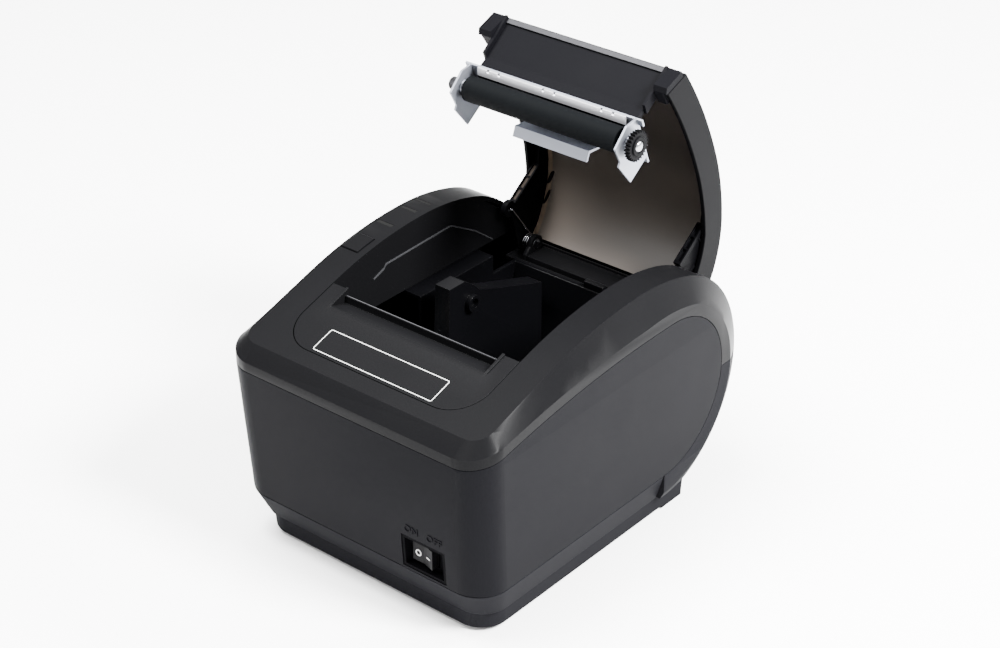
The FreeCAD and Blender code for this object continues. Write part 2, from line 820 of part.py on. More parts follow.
def deck_cover():
    """The lift-off deck: a sloped plate with a slanted recess before the paper slot and a rib at each end."""
    gap = size.deck_gap
    rear = size.deck_rear
    thick = size.deck_thick
    ends = size.opening_half - gap
    form = Part.Face(rounded(ends, size.deck_front + gap, rear, size.deck_round - gap, 0))
    form = form.extrude(Vector(0, 0, FAR))
    plain = prism((-ends, ends), (
        (0, deck(0)), (rear, deck(rear)), (rear, deck(rear) - thick), (0, deck(0) - thick)))
    start = size.recess_front
    drop = size.recess_drop
    edge = size.slot_edge
    lip = size.slot_edge_thick
    middle = (-size.rib_half, size.rib_half)
    hollow = slab(middle, (start, rear + 1), (0, FAR))
    scoop = prism(middle, (
        (start, deck(start)), (edge - lip, deck(edge) - drop), (edge, deck(edge) - drop),
        (edge, deck(edge) - size.slot_edge_drop), (edge + lip, deck(edge) - size.slot_edge_drop),
        (edge + lip, deck(edge) - drop - thick), (edge - lip, deck(edge) - drop - thick),
        (start, deck(start) - thick)))
    rib = prism((size.rib_half, size.rib_half + size.rib_thick), (
        (size.rib_front, deck(size.rib_front) - thick),
        (size.rib_front, deck(size.rib_front)),
        (size.rib_front + 2 * size.rib_rise, deck(size.rib_front) + size.rib_rise),
        (rear, deck(rear) + size.rib_rise / 2),
        (rear, deck(rear) - drop - thick),
        (edge - lip, deck(edge) - drop - thick)))
    return plain.common(form).cut(hollow).fuse([scoop] + both(rib)).removeSplitter()


def paper_bin():
    """The roll tub: a rounded trough with flat ends, and flanges that carry the arms' inner walls."""
    wall = size.bin_wall

    def trough(grow, x):
        radius = size.bin_round + grow
        front = point(size.bin_front - grow, size.bin_front_top, x)
        turn = math.asin((size.bin_front_top - size.bin_height) / radius)
        left = point(size.bin_depth - radius * math.cos(turn), size.bin_front_top, x)
        right = point(size.bin_depth + radius, size.bin_height, x)
        rear = point(size.bin_rear + grow, size.bin_rear_top, x)
        lift = math.sqrt(0.5)
        low = point(size.bin_depth, size.bin_height - radius, x)
        edges = [
            line(front, left) if (left - front).Length > 0.01 else None,
            arc(left, point(size.bin_depth - radius * lift, size.bin_height - radius * lift, x), low),
            arc(low, point(size.bin_depth + radius * lift, size.bin_height - radius * lift, x), right),
            line(right, rear),
        ]
        top = point(size.bin_rear + grow, size.rim_height, x)
        brow = point(size.bin_front - grow, size.rim_height, x)
        edges += [line(rear, top), line(top, brow), line(brow, front)]
        return Part.Face(Part.Wire([edge for edge in edges if edge]))

    half = size.bin_half
    outer = trough(wall, -half - wall).extrude(Vector(2 * (half + wall), 0, 0))
    inner = trough(0.0, -half).extrude(Vector(2 * half, 0, 0))
    open_top = slab((-half, half), (-FAR, FAR), (size.bin_rear_top, FAR))
    ends = slab((-FAR, FAR), (-FAR, size.flange_front), (size.bin_front_top, FAR))
    behind = slab((-FAR, FAR), (size.flange_rear, FAR), (size.bin_rear_top, FAR))
    tub = outer.cut([inner, open_top, ends, behind])
    flange = slab((half, size.opening_half + wall), (size.flange_front, size.flange_rear),
                  (size.rim_height - wall, size.rim_height))
    return tub.fuse(both(flange)).removeSplitter()


def roll_divider():
    """The partition for narrow rolls: a hollow upright wall with a stepped top and a ring boss."""
    left = size.divider_left
    right = left + size.divider_thick
    wall = size.divider_wall
    lift = math.sqrt(size.bin_round ** 2 - (size.divider_foot - size.bin_depth) ** 2)
    foot = size.bin_height - lift + size.seam_gap
    rear = size.flange_rear + size.divider_back
    rear_lift = math.sqrt(size.bin_round ** 2 - (rear - size.bin_depth) ** 2)
    rear_foot = size.bin_height - rear_lift + size.seam_gap
    step = size.divider_step
    top = size.divider_top
    start = size.divider_front
    drop = size.divider_drop
    corners = (
        (size.divider_foot, foot), (start, top), (start + size.divider_crest, top),
        (start + size.divider_fall, top - drop), (start + size.divider_knee, step + drop),
        (start + size.divider_tail, step), (rear, size.bin_rear_top), (rear, rear_foot))
    form = prism((left, right), corners)
    trough = across(size.bin_round - size.seam_gap, -FAR, FAR, size.bin_depth, size.bin_height)
    upper = slab((-FAR, FAR), (-FAR, FAR), (size.bin_height, FAR))
    form = form.common(trough.fuse(upper)).Solids[0]
    hollow = form.copy()
    hollow.scale(1.0 - 2 * wall / (top - foot), form.CenterOfMass)
    hollow.translate(Vector(-wall, 0, 0))
    boss_at = point(start + size.boss_back, step, right)
    boss = Part.makeCylinder(size.boss_radius, size.boss_rise, boss_at, Vector(1, 0, 0))
    bore = Part.makeCylinder(size.boss_bore, size.boss_rise, boss_at, Vector(1, 0, 0))
    return form.cut(hollow).fuse(boss).cut(bore).removeSplitter()


# Raised cover, built closed and then turned open about its hinge

TURN_OPEN = Rotation(Vector(1, 0, 0), -size.open_angle)
OPEN = Placement(Vector(), TURN_OPEN, Vector(0, size.hinge_y, size.hinge_height))
SEAT = 0.1
NOSE_TOP = skin(size.lid_front) - size.lid_wall - SEAT
CHEEK_STEPS = (0.0, 0.2, 0.4, 0.6, 0.8, 0.95)
CHEEK_HEEL = (0.4, 0.8)


def across(radius, low, high, depth, height):
    """A round bar along x."""
    return Part.makeCylinder(radius, high - low, point(depth, height, low), Vector(1, 0, 0))


def lid_shell():
    """The smoked cover: a curved skin between the arms with a deep wall along each side."""
    half = size.lid_half
    reach = (size.lid_front, FAR)
    roof = skin_strip((-half, half), 0.0, size.lid_wall, reach, size.lid_tail)
    side = skin_strip((half - size.lid_wall, half), 0.0, size.lid_skirt, reach, size.lid_tail)
    return roof.fuse(both(side)).removeSplitter()


def lid_cheek():
    """The right hinge cheek: a ribbed web under the cover, a strut along its front edge and a barrel below."""
    x = (size.cheek_inner, size.cheek_outer)
    under = size.lid_wall + SEAT
    radius = size.barrel_radius
    depth, height = size.hinge_depth, size.hinge_height
    start = size.round_depth
    corners = []
    for share in CHEEK_STEPS:
        spot = start + (depth - start) * share
        rise = math.sqrt((size.case_round - under) ** 2 - (spot - start) ** 2)
        corners.append((spot, size.round_height + rise))
    corners.append((depth + radius * CHEEK_HEEL[0], height + radius * CHEEK_HEEL[1]))
    corners.append((depth, height - radius))
    corners.append(leg_end())
    corners.append((size.strut_top, size.strut_top_height))
    corners.append((start, skin(start) - 3 * under))
    rib = size.lattice_thick
    bars = []
    for spot in (size.lattice_first, size.lattice_second):
        bars.append(slab((size.cheek_outer, size.strut_outer), (spot, spot + rib), (0, FAR)))
    bars.append(slab((size.cheek_outer, size.strut_outer), (size.strut_top, depth),
                     (size.lattice_height, size.lattice_height + rib)))
    outside = prism((size.cheek_outer, size.strut_outer), corners)
    lattice = [bar.common(outside) for bar in bars]
    return prism(x, corners).fuse(lattice + [strut(), across(radius, x[0], x[1], depth, height)])


def strut():
    """The flange along a cheek's front edge, with shallow cells in its front face."""
    foot = point(*leg_end(), size.strut_inner)
    along = point(size.strut_top, size.strut_top_height, size.strut_inner) - foot
    length = along.Length
    along.normalize()
    out = Vector(0, -along.z, along.y)

    def bar(x, low, high, near, far):
        """A bar beside the strut's middle line, between two distances along it and two out of it."""
        path = [foot + along * low + out * near, foot + along * high + out * near,
                foot + along * high + out * far, foot + along * low + out * far]
        face = Part.Face(Part.makePolygon(path + path[:1]))
        return face.translated(Vector(x[0] - size.strut_inner, 0, 0)).extrude(Vector(x[1] - x[0], 0, 0))

    half = size.strut_thick / 2
    rim = size.cell_rim
    first = size.lug_radius + rim
    step = (length - first) / size.cell_count
    cells = []
    for i in range(int(size.cell_count)):
        low = first + i * step
        cells.append(bar((size.strut_inner + rim, size.strut_outer - rim), low, low + step - rim,
                         half - size.cell_deep, half))
    whole = bar((size.strut_inner, size.strut_outer), size.lug_radius - rim, length, -half, half)
    return whole.cut(cells)


def pin_bore():
    return across(size.pin_radius + size.pin_clearance, -size.pin_tip, size.pin_tip, *HINGE)


def lid_cheek_right():
    """The right hinge cheek with its bore."""
    return lid_cheek().cut(pin_bore()).removeSplitter()


def lid_cheek_left():
    """The left hinge cheek, whose strut ends in a lug that takes the end of the cover's spring."""
    lug = across(size.lug_radius, -size.strut_outer, -size.cheek_inner, *leg_end())
    hole = across(size.lug_hole, -size.strut_outer, -size.cheek_inner, *leg_end())
    return both(lid_cheek())[1].fuse(lug).cut([pin_bore(), hole]).removeSplitter()


def leg_end():
    """Depth and height where the spring's leg turns aside into the left cheek."""
    lean = math.radians(size.coil_lean)
    depth = size.hinge_depth + size.coil_radius * math.sin(lean) + size.coil_leg * math.cos(lean)
    height = size.hinge_height - size.coil_radius * math.cos(lean) + size.coil_leg * math.sin(lean)
    return depth, height


def lid_nose():
    """The cover's front panel: a fin and a block at each end, and a foot that holds the platen bracket."""
    thick = size.nose_thick
    half = size.nose_half
    high = (size.nose_top_depth, NOSE_TOP)
    low = (size.nose_foot_depth, size.nose_foot)
    seat = size.bracket_height + size.sheet
    panel = prism((-half, half), (
        high, low, (low[0] + thick / 2, seat), (low[0] + 2 * thick, seat), (low[0] + thick, low[1]),
        (high[0] + thick, high[1])))
    fin = prism((half, half + size.fin_thick), (
        (high[0] - size.fin_rise, high[1]), (low[0] - size.fin_rise, low[1]), (low[0] + thick, low[1]),
        (high[0] + thick, high[1])))
    foot = NOSE_TOP - size.block_tall
    slant = size.block_tall / 10
    block_form = prism((half + size.fin_thick, size.lid_half - size.lid_wall - SEAT), (
        (size.block_front, NOSE_TOP), (size.block_front, foot + slant),
        (size.block_front + thick, foot), (size.block_rear, foot + slant),
        (size.block_rear, NOSE_TOP)))
    brow = prism((half + size.fin_thick, size.lid_half - 2 * SEAT), (
        (size.block_front, NOSE_TOP), (size.block_front, foot + slant),
        (size.block_front + thick, foot), (size.lid_front - SEAT, foot),
        (size.lid_front - SEAT, NOSE_TOP)))
    return panel.fuse(both(fin) + both(block_form) + both(brow)).removeSplitter()


def tear_bar():
    """The steel strip along the top of the nose's front face, with a finely serrated upper edge."""
    half = size.nose_half
    top = point(size.nose_top_depth, NOSE_TOP)
    down = (point(size.nose_foot_depth, size.nose_foot) - top).normalize()
    out = Vector(0, down.z, -down.y)
    base = top + out * SEAT
    count = int(2 * half / size.tear_pitch)
    right = -half + count * size.tear_pitch
    path = [base + down * size.tear_tall + Vector(-half, 0, 0)]
    for i in range(count):
        x = -half + i * size.tear_pitch
        path.append(base + Vector(x, 0, 0))
        path.append(base - down * size.tear_tooth + Vector(x + size.tear_pitch / 2, 0, 0))
    path.append(base + Vector(right, 0, 0))
    path.append(base + down * size.tear_tall + Vector(right, 0, 0))
    return Part.Face(Part.makePolygon(path + path[:1])).extrude(out * size.tear_thick)


# Corners of a bracket ear, as distances behind and above the platen's axis
EAR_CORNERS = ((-8.3, 1.4), (-3.8, -8.7), (4.5, -7.8), (6.0, -9.4))
EAR_BACK = 3.6


def platen_bracket():
    """The bent steel bracket: a top plate and two pointed ears that carry the platen's bushes."""
    top = size.bracket_height + size.sheet
    plate_form = slab((-size.ear_outer, size.ear_outer), (size.bracket_front, size.bracket_rear),
                      (size.bracket_height, top))
    strip = slab((-size.strip_half, size.strip_half), (size.bracket_front, size.strip_rear),
                 (size.bracket_height, top))
    depth, height = size.platen_depth, size.platen_height
    corners = [(size.bracket_front, top)]
    corners += [(depth + back, height + rise) for back, rise in EAR_CORNERS]
    corners += [(size.ear_tip, size.ear_tip_height), (size.bracket_rear - EAR_BACK, top)]
    ear = prism((size.ear_inner, size.ear_outer), corners)
    ear = ear.cut(across(size.bush_radius, 0, FAR, depth, height))
    return plate_form.fuse([strip] + both(ear)).removeSplitter()


# Half widths of a gear tooth at its root and tip, as shares of the pitch
ROOT_HALF = 0.30
TIP_HALF = 0.11


def gear(teeth, low, high, depth, height, bore, phase):
    """A spur gear across x with one tooth centred at the phase angle."""
    teeth = int(teeth)
    pitch_radius = teeth * size.tooth / 2
    root = pitch_radius - size.root_share * size.tooth
    tip = pitch_radius + size.tip_share * size.tooth
    path = []
    for i in range(teeth):
        middle = phase + 2 * math.pi * i / teeth
        for radius, share in ((root, -ROOT_HALF), (tip, -TIP_HALF), (tip, TIP_HALF), (root, ROOT_HALF)):
            angle = middle + share * 2 * math.pi / teeth
            path.append(point(depth + radius * math.cos(angle), height + radius * math.sin(angle), low))
    blank = Part.Face(Part.makePolygon(path + path[:1])).extrude(Vector(high - low, 0, 0))
    return blank.cut(across(bore, low, high, depth, height))


def raised(name, shape):
    return node(solid(name + "_form", shape, OPEN), name)


# Print mechanism

DRIVE = (size.drive_depth, size.drive_height)
DRIVE_ANGLE = math.radians(size.motor_turn)
CUTTER_RADIUS = size.cutter_teeth * size.tooth / 2
CUTTER_AXIS = size.rack_top - size.tooth + CUTTER_RADIUS + size.backlash
RACK_RIGHT = size.rack_left + size.rack_width


def mechanism_frame():
    """The steel chassis: two side plates with seats for the platen's bushes, a floor and a spring wall."""
    depth, height = size.platen_depth, size.platen_height
    foot = size.floor_top
    waist = size.frame_foot
    cutter_end = size.cutter_rear + size.cutter_room
    leg = size.frame_front + size.frame_leg
    side = prism((size.frame_inner, size.frame_outer), (
        (size.frame_front, foot), (leg, foot), (leg, waist),
        (size.frame_rear, waist), (size.frame_rear, height), (cutter_end, height),
        (cutter_end, size.frame_top), (size.frame_front, size.frame_top)))
    side = side.cut(across(size.bush_radius + size.frame_gap / 2, 0, FAR, depth, height))
    shaft_hole = across(size.axle_radius + size.shaft_room, 0, FAR, size.motor_depth, size.motor_height)
    stud_hole = across(size.stud_radius, 0, FAR, *DRIVE)
    left, right = both(side)[1], side.cut([shaft_hole, stud_hole])
    floor_rear = size.bin_front - 2 * size.bin_wall
    floor = slab((-size.frame_outer, size.frame_outer), (size.frame_front, floor_rear),
                 (waist, waist + size.sheet))
    wall_rear = size.motor_depth + size.spring_wall
    wall_end = size.frame_inner - size.motor_length - size.spring_room
    wall = slab((-size.frame_outer, wall_end), (wall_rear - size.sheet, wall_rear),
                (waist, height + size.wall_rise))
    return left.fuse([right, floor, wall]).removeSplitter()


def cutter_frame():
    """The cutter's plate between the side plates, with blade rails below and bearing lugs for its gear."""
    low = size.rack_top + size.seam_gap
    high = low + size.cutter_deck
    end = size.frame_inner
    middle = size.cutter_gear_depth
    reach = (size.frame_front + size.cutter_room, size.cutter_rear)
    plate_form = slab((-end, end), reach, (low, high))
    rail = slab((size.blade_half + size.cutter_room + size.seam_gap, end), reach,
                (size.cutter_height - size.cutter_room, low))
    tip = CUTTER_RADIUS + 2 * size.tooth
    window = slab((size.rack_left - size.seam_gap, RACK_RIGHT + size.seam_gap),
                  (middle - tip, middle + tip), (0, FAR))
    lugs = []
    for x in (size.rack_left - size.seam_gap - size.bearing_thick, RACK_RIGHT + size.seam_gap):
        far = x + size.bearing_thick
        lug = slab((x, far), (middle - size.bearing_half, middle + size.bearing_half),
                   (low, CUTTER_AXIS + size.bearing_rise))
        lugs.append(lug.cut(across(size.axle_radius + size.pin_clearance, x, far, middle, CUTTER_AXIS)))
    return plate_form.fuse(both(rail)).cut(window).fuse(lugs).removeSplitter()


def cutter_blade():
    """The moving blade: a flat plate with a shallow vee edge, and a rack that its gear drives."""
    half = size.blade_half + size.cutter_room
    rear = size.cutter_rear
    front = rear - size.cutter_length
    low = size.cutter_height
    high = low + size.cutter_thick
    corners = [(-half, front), (half, front), (half, rear), (0, rear - size.cutter_vee), (-half, rear)]
    path = [point(depth, low, x) for x, depth in corners]
    blade = Part.Face(Part.makePolygon(path + path[:1])).extrude(Vector(0, 0, size.cutter_thick))
    pitch = math.pi * size.tooth
    root = size.rack_top - 2.0 * size.tooth
    top = size.rack_top - 0.1 * size.tooth
    path = [(front, high), (front, root)]
    end = rear - size.rack_end
    count = int((size.cutter_gear_depth - front) / pitch)
    for i in range(-count, count + 1):
        middle = size.cutter_gear_depth + (i + 0.5) * pitch
        if middle + ROOT_HALF * pitch < end and middle - ROOT_HALF * pitch > front:
            for share, level in ((-ROOT_HALF, root), (-TIP_HALF, top), (TIP_HALF, top), (ROOT_HALF, root)):
                path.append((middle + share * pitch, level))
    path += [(end, root), (end, high)]
    return blade.fuse(prism((size.rack_left, RACK_RIGHT), path)).removeSplitter()


def cutter_gear():
    """The cutter's gear with its own axle, which a finger can turn when the deck is lifted off."""
    middle = size.cutter_gear_depth
    axle_end = size.seam_gap + size.bearing_thick
    down = -math.pi / 2
    wheel = gear(size.cutter_teeth, size.rack_left, RACK_RIGHT, middle, CUTTER_AXIS, size.axle_radius, down)
    axle = across(size.axle_radius, size.rack_left - axle_end, RACK_RIGHT + axle_end, middle, CUTTER_AXIS)
    return wheel.fuse(axle).removeSplitter()


def motor_pinion():
    """The motor's pinion on its shaft."""
    wheel = gear(size.pinion_teeth, size.gear_inner, size.gear_outer, size.motor_depth, size.motor_height,
                 size.axle_radius, DRIVE_ANGLE + math.pi)
    shaft = across(size.axle_radius, size.frame_inner - size.shaft_sink, size.gear_outer, size.motor_depth,
                   size.motor_height)
    return wheel.fuse(shaft).removeSplitter()


def drive_gear():
    """The gear between the motor pinion and the closed cover's platen gear."""
    phase = DRIVE_ANGLE + math.pi / size.drive_teeth
    return gear(size.drive_teeth, size.gear_inner, size.gear_outer, DRIVE[0], DRIVE[1],
                size.stud_radius + size.pin_clearance, phase)


def hinge_beam():
    """The ledge behind the bin, raised between two ears that hold the hinge pins."""
    x = (size.bracket_inner, size.bracket_outer)
    radius = size.pin_radius + size.ear_wall
    low = size.ledge_low
    beam = slab((-size.beam_half, size.beam_half), (size.beam_front, size.ledge_rear), (low, size.beam_top))
    ledge = slab((-size.ledge_half, size.ledge_half), (size.bin_rear + size.bin_wall, size.ledge_rear),
                 (low, size.ledge_top))
    depth, height = size.hinge_depth, size.hinge_height
    start = size.beam_front
    ear = prism(x, ((start, low), (depth, height - radius), (depth, height + radius), (start, size.beam_top)))
    ear = ear.fuse(across(radius, x[0], x[1], depth, height))
    ear = ear.cut(across(size.pin_radius, x[0], x[1], depth, height))
    return beam.fuse([ledge] + both(ear)).removeSplitter()


def bent(start, corner, end):
    """An arc from start to end whose end tangents meet at the corner."""
    middle = (start + end) / 2
    half = (end - start).Length / 2
    rise = corner - middle
    bow = half * math.tan(math.atan2(rise.Length, half) / 2)
    return Part.Arc(start, middle + rise.normalize() * bow, end).toShape()


def biarc(start, leave, end, arrive):
    """Two arcs in a row between two points with given directions there."""
    gap = end - start
    both_ways = leave + arrive
    spread = 2 * (1 - leave.dot(arrive))
    along = gap.dot(both_ways)
    reach = (math.sqrt(along ** 2 + spread * gap.dot(gap)) - along) / spread
    first = start + leave * reach
    second = end - arrive * reach
    joint = (first + second) / 2
    return [bent(start, first, joint), bent(joint, second, end)]


def lid_spring():
    """The cover's spring: one wire wound round the left pin, with a leg hooked into the left cheek's lug."""
    radius = size.coil_radius
    near = size.coil_wire + size.seam_gap - size.cheek_inner
    far = -size.bracket_outer - size.coil_wire - size.seam_gap
    last = math.radians(size.coil_lean) - math.pi / 2
    first = last - 2 * math.pi * size.coil_turns
    drift = (far - near) / (last - first)

    def place(angle):
        depth = size.hinge_depth + radius * math.cos(angle)
        height = size.hinge_height + radius * math.sin(angle)
        return point(depth, height, near + drift * (last - angle))

    def heading(angle, aside):
        return Vector(-aside, -radius * math.sin(angle), radius * math.cos(angle)).normalize()

    steps = int(4 * size.coil_turns)
    angles = [first + (last - first) * i / steps for i in range(steps + 1)]
    asides = [drift] * steps + [0.0]
    edges = []
    for i in range(steps):
        a, b = angles[i], angles[i + 1]
        edges += biarc(place(a), heading(a, asides[i]), place(b), heading(b, asides[i + 1]))
    out = heading(last, 0.0)
    knee = place(last) + out * size.coil_leg
    sideways = Vector(-1, 0, 0)
    tip_x = -(size.cheek_inner + size.strut_outer) / 2
    edges.append(line(place(last), knee - out * size.coil_bend))
    edges.append(bent(knee - out * size.coil_bend, knee, knee + sideways * size.coil_bend))
    edges.append(line(knee + sideways * size.coil_bend, Vector(tip_x, knee.y, knee.z)))
    path = Part.Wire(edges)
    ring = Part.Wire(Part.makeCircle(size.coil_wire, place(first), heading(first, drift)))
    return path.makePipeShell([ring], True, False)


# Controls


def feed_button():
    """The feed key in the left arm, standing a little proud of the arm's skin."""
    x = -size.button_side
    half = size.button_width / 2
    reach = size.button_length / 2
    low = skin(size.button_depth - reach) - size.button_tall
    form = slab((x - half, x + half), (size.button_depth - reach, size.button_depth + reach), (low, FAR))
    proud = OUTER.translated(Vector(0, 0, size.button_proud))
    return form.common(proud)


def status_lights():
    """Three light bars flush in the left arm."""
    x = -size.button_side
    half = size.light_width / 2
    bars = []
    for depth in (size.light_first, size.light_second, size.light_third):
        span = size.light_length / 2
        bar = slab((x - half, x + half), (depth - span, depth + span), (skin(depth) - 1.6 * size.wall, FAR))
        bars.append(bar.common(OUTER).Solids[0])
    return Part.makeCompound(bars)


ROCKER_DEPTH = size.front_draft + size.switch_sink


def switch_housing():
    """The recessed frame round the power switch, level with the front panel."""
    gap = size.seam_gap
    x, z = size.switch_centre, size.switch_height
    wide = size.switch_wide / 2 - gap
    tall = size.switch_tall / 2 - gap
    rear = size.front_draft + size.switch_sink + size.wall
    deep = rear + size.rocker_wide / 2
    form = slab((x - wide, x + wide), (0, deep), (z - tall, z + tall)).common(drafted(gap))
    pocket = slab((x - wide + size.wall / 2, x + wide - size.wall / 2), (-1, rear - size.wall),
                  (z - tall + size.wall / 2, z + tall - size.wall / 2))
    well_wide = size.rocker_wide / 2 + size.rocker_gap
    well_tall = size.rocker_tall / 2 + size.rocker_gap / 2
    middle = size.rocker_middle
    well = slab((middle - well_wide, middle + well_wide), (0, deep - size.rocker_taper),
                (z - well_tall, z + well_tall))
    pivot = Part.makeCylinder(size.pivot_radius + size.pin_clearance, FAR,
                              point(ROCKER_DEPTH, -FAR / 2, middle))
    return form.cut([pocket, well, pivot])


def power_rocker():
    """The rocker: two shallow faces that meet in a vee, on an upright pivot with a stub at each end."""
    x = size.rocker_middle
    half = size.rocker_wide / 2
    rise = half * math.tan(math.radians(size.rocker_tilt))
    z = size.switch_height - size.rocker_tall / 2
    front = ROCKER_DEPTH - size.rocker_deep
    rear = ROCKER_DEPTH + size.rocker_deep
    inner = half - size.rocker_taper
    corners = [(-half, front - rise), (0, front), (half, front - rise), (inner, rear), (-inner, rear)]
    path = [point(depth, z, x + along) for along, depth in corners]
    body = Part.Face(Part.makePolygon(path + path[:1])).extrude(Vector(0, 0, size.rocker_tall))
    pivot = Part.makeCylinder(size.pivot_radius, size.rocker_tall + 2 * size.pivot_length,
                              point(ROCKER_DEPTH, z - size.pivot_length, x))
    return body.fuse(pivot).removeSplitter()


node(solid("base_tray_form", base_tray()), "base_tray")
node(solid("main_shell_form", main_shell()), "main_shell")
node(solid("top_bezel_form", top_bezel()), "top_bezel")
node(solid("rear_cover_form", rear_cover()), "rear_cover")
node(solid("deck_cover_form", deck_cover()), "deck_cover")
node(solid("paper_bin_form", paper_bin()), "paper_bin")
node(solid("roll_divider_form", roll_divider()), "roll_divider")
node(solid("hinge_beam_form", hinge_beam()), "hinge_beam")
node(solid("mechanism_frame_form", mechanism_frame()), "mechanism_frame")
node(solid("motor_pinion_form", motor_pinion()), "motor_pinion")
node(solid("drive_gear_form", drive_gear()), "drive_gear")
node(solid("cutter_frame_form", cutter_frame()), "cutter_frame")
node(solid("cutter_blade_form", cutter_blade()), "cutter_blade")
node(solid("cutter_gear_form", cutter_gear()), "cutter_gear")
node(solid("feed_button_form", feed_button()), "feed_button")
node(solid("status_lights_form", status_lights()), "status_lights")
node(solid("switch_housing_form", switch_housing()), "switch_housing")
pivot = Vector(size.rocker_middle, ROCKER_DEPTH + size.front, 0)
tilt = Placement(Vector(), Rotation(Vector(0, 0, 1), -size.rocker_tilt), pivot)
node(solid("power_rocker_form", power_rocker(), tilt), "power_rocker")

raised("lid_shell", lid_shell())
raised("lid_cheek_right", lid_cheek_right())
raised("lid_cheek_left", lid_cheek_left())
raised("lid_nose", lid_nose())
raised("lid_spring", lid_spring())
raised("tear_bar", tear_bar())
raised("platen_bracket", platen_bracket())
raised("platen_gear", gear(size.platen_teeth, size.gear_inner, size.gear_outer, size.platen_depth,
                           size.platen_height, size.shaft_radius, 0.0))


def raise_open(thing, label):
    """Turns a piece that is built closed up with the cover."""
    thing.Placement = OPEN
    return node(thing, label)


# Platen pieces
AXIS = ("platen_y", "platen_height")
shaft = rod("shaft", "x", "shaft_radius", "-shaft_half", "shaft_half", AXIS)
raise_open(group("shaft_set", shaft), "platen_shaft")
roller = rod("roller", "x", "rubber_radius", "-rubber_half", "rubber_half", AXIS)
roller_bore = rod("roller_bore", "x", "shaft_radius", "-rubber_half", "rubber_half", AXIS)
raise_open(cut("platen_rubber", roller, roller_bore), "platen_rubber")
knurl = rod("knurl", "x", "knurl_radius", "-shaft_half", "-gear_inner", AXIS)
knurl_bore = rod("knurl_bore", "x", "shaft_radius", "-shaft_half", "-gear_inner", AXIS)
raise_open(cut("platen_end_bush", knurl, knurl_bore), "platen_end_bush")
bushes = []
for low, high in (("-frame_outer", "-ear_inner + sheet"), ("ear_inner - sheet", "frame_outer")):
    sleeve = rod("sleeve", "x", "bush_radius - pin_clearance", low, high, AXIS)
    sleeve_bore = rod("sleeve_bore", "x", "shaft_radius + pin_clearance", low, high, AXIS)
    bushes.append(cut("bush", sleeve, sleeve_bore))
raise_open(group("platen_bushings", *bushes), "platen_bushings")
strip = block("holder_strip", ("-rubber_half", "rubber_half"),
              ("front + holder_front", "front + holder_rear"),
              ("bracket_height - holder_tall", "bracket_height"))
raise_open(group("holder_set", strip), "blade_holder")
screws = []
for x in ("-rubber_half * 0.7", "rubber_half * 0.7"):
    screws.append(rod("bracket_screw", "z", "screw_head", "bracket_height - sheet * 1.4", "bracket_height",
                      (x, "front + bracket_rear - 2 * screw_head")))
raise_open(group("bracket_screws", *screws), "bracket_screws")

# The cover's cutter blade leans back and has three pairs of notches in its edge
leaning = plate("leaning_strip", "x", "-blade_half", "blade_half", (
    ("front + blade_front", "blade_front_height"),
    ("front + blade_rear", "blade_rear_height"),
    ("front + blade_rear + blade_back", "blade_rear_height + blade_rise"),
    ("front + blade_front + blade_back", "blade_front_height + blade_rise")))
notches = []
for middle in ("notch_left", "notch_middle", "notch_right"):
    for side in ("- notch_spread", "+ notch_spread"):
        x = middle + side
        notches.append(block("notch", (x + " - blade_notch / 2", x + " + blade_notch / 2"),
                             ("front + blade_front - blade_notch", "front + blade_front + blade_notch"),
                             ("blade_rear_height", "bracket_height")))
raise_open(cut("notched_strip", leaning, *notches), "fixed_blade")

# The bent plate behind the platen that leads the paper, with a turned lip
guide = plate("guide_sheet", "x", "guide_left", "guide_right", (
    ("front + guide_bend + guide_back - sheet", "bracket_height"),
    ("front + guide_bend", "guide_low"),
    ("front + guide_bend + guide_lip", "guide_low - lip_drop"),
    ("front + guide_bend + guide_lip + sheet / 2", "guide_low - lip_drop + sheet"),
    ("front + guide_bend + 1.5 * sheet", "guide_low"),
    ("front + guide_bend + guide_back", "bracket_height")))
raise_open(guide, "paper_guide")

# Hinge pins, feed motor and the drive gear's stud
pins = []
for low, high in (("-pin_tip", "-bracket_inner"), ("bracket_inner", "pin_tip")):
    pins.append(rod("pin", "x", "pin_radius", low, high, ("hinge_y", "hinge_height")))
node(group("pins", *pins), "hinge_pins")
MOTOR = ("motor_y", "motor_height")
can = rod("can", "x", "motor_radius", "frame_inner - motor_length", "frame_inner", MOTOR)
can_bore = rod("can_bore", "x", "axle_radius + pin_clearance", "frame_inner - bearing_deep", "frame_inner",
               MOTOR)
node(cut("motor", can, can_bore), "feed_motor")
stud = rod("stud", "x", "stud_radius", "frame_inner", "gear_outer", ("drive_y", "drive_height"))
node(stud, "drive_gear_stud")

# Print head and its neighbours
node(block("head_strip", ("-head_half", "head_half"), ("head_face - head_thick", "head_face"),
           ("platen_height - head_rise", "cutter_height - cutter_room")), "print_head")
sink = block("sink_bar", ("-head_half", "head_half"),
             ("head_face - head_thick - sink_thick", "head_face - head_thick"),
             ("platen_height - head_rise - head_foot", "cutter_height - cutter_room"))
grooves = []
for i in range(3):
    low = "platen_height - head_rise + %d * sink_thick / 2" % i
    grooves.append(block("sink_groove", ("-head_half", "head_half"),
                         ("head_face - head_thick - sink_thick", "head_face - head_thick - sink_thick / 2"),
                         (low, low + " + sink_thick / 5")))
node(cut("sink", sink, *grooves), "head_heatsink")
springs = []
for x in ("-head_half / 2", "head_half / 2"):
    at = (x, "platen_height - spring_radius / 2")
    springs.append(rod("spring", "y", "spring_radius", "motor_y + spring_wall",
                       "head_face - head_thick - sink_thick", at))
node(group("springs", *springs), "head_springs")
CUTTER_CAN = "rack_left + rack_width + 2 * bearing_thick"
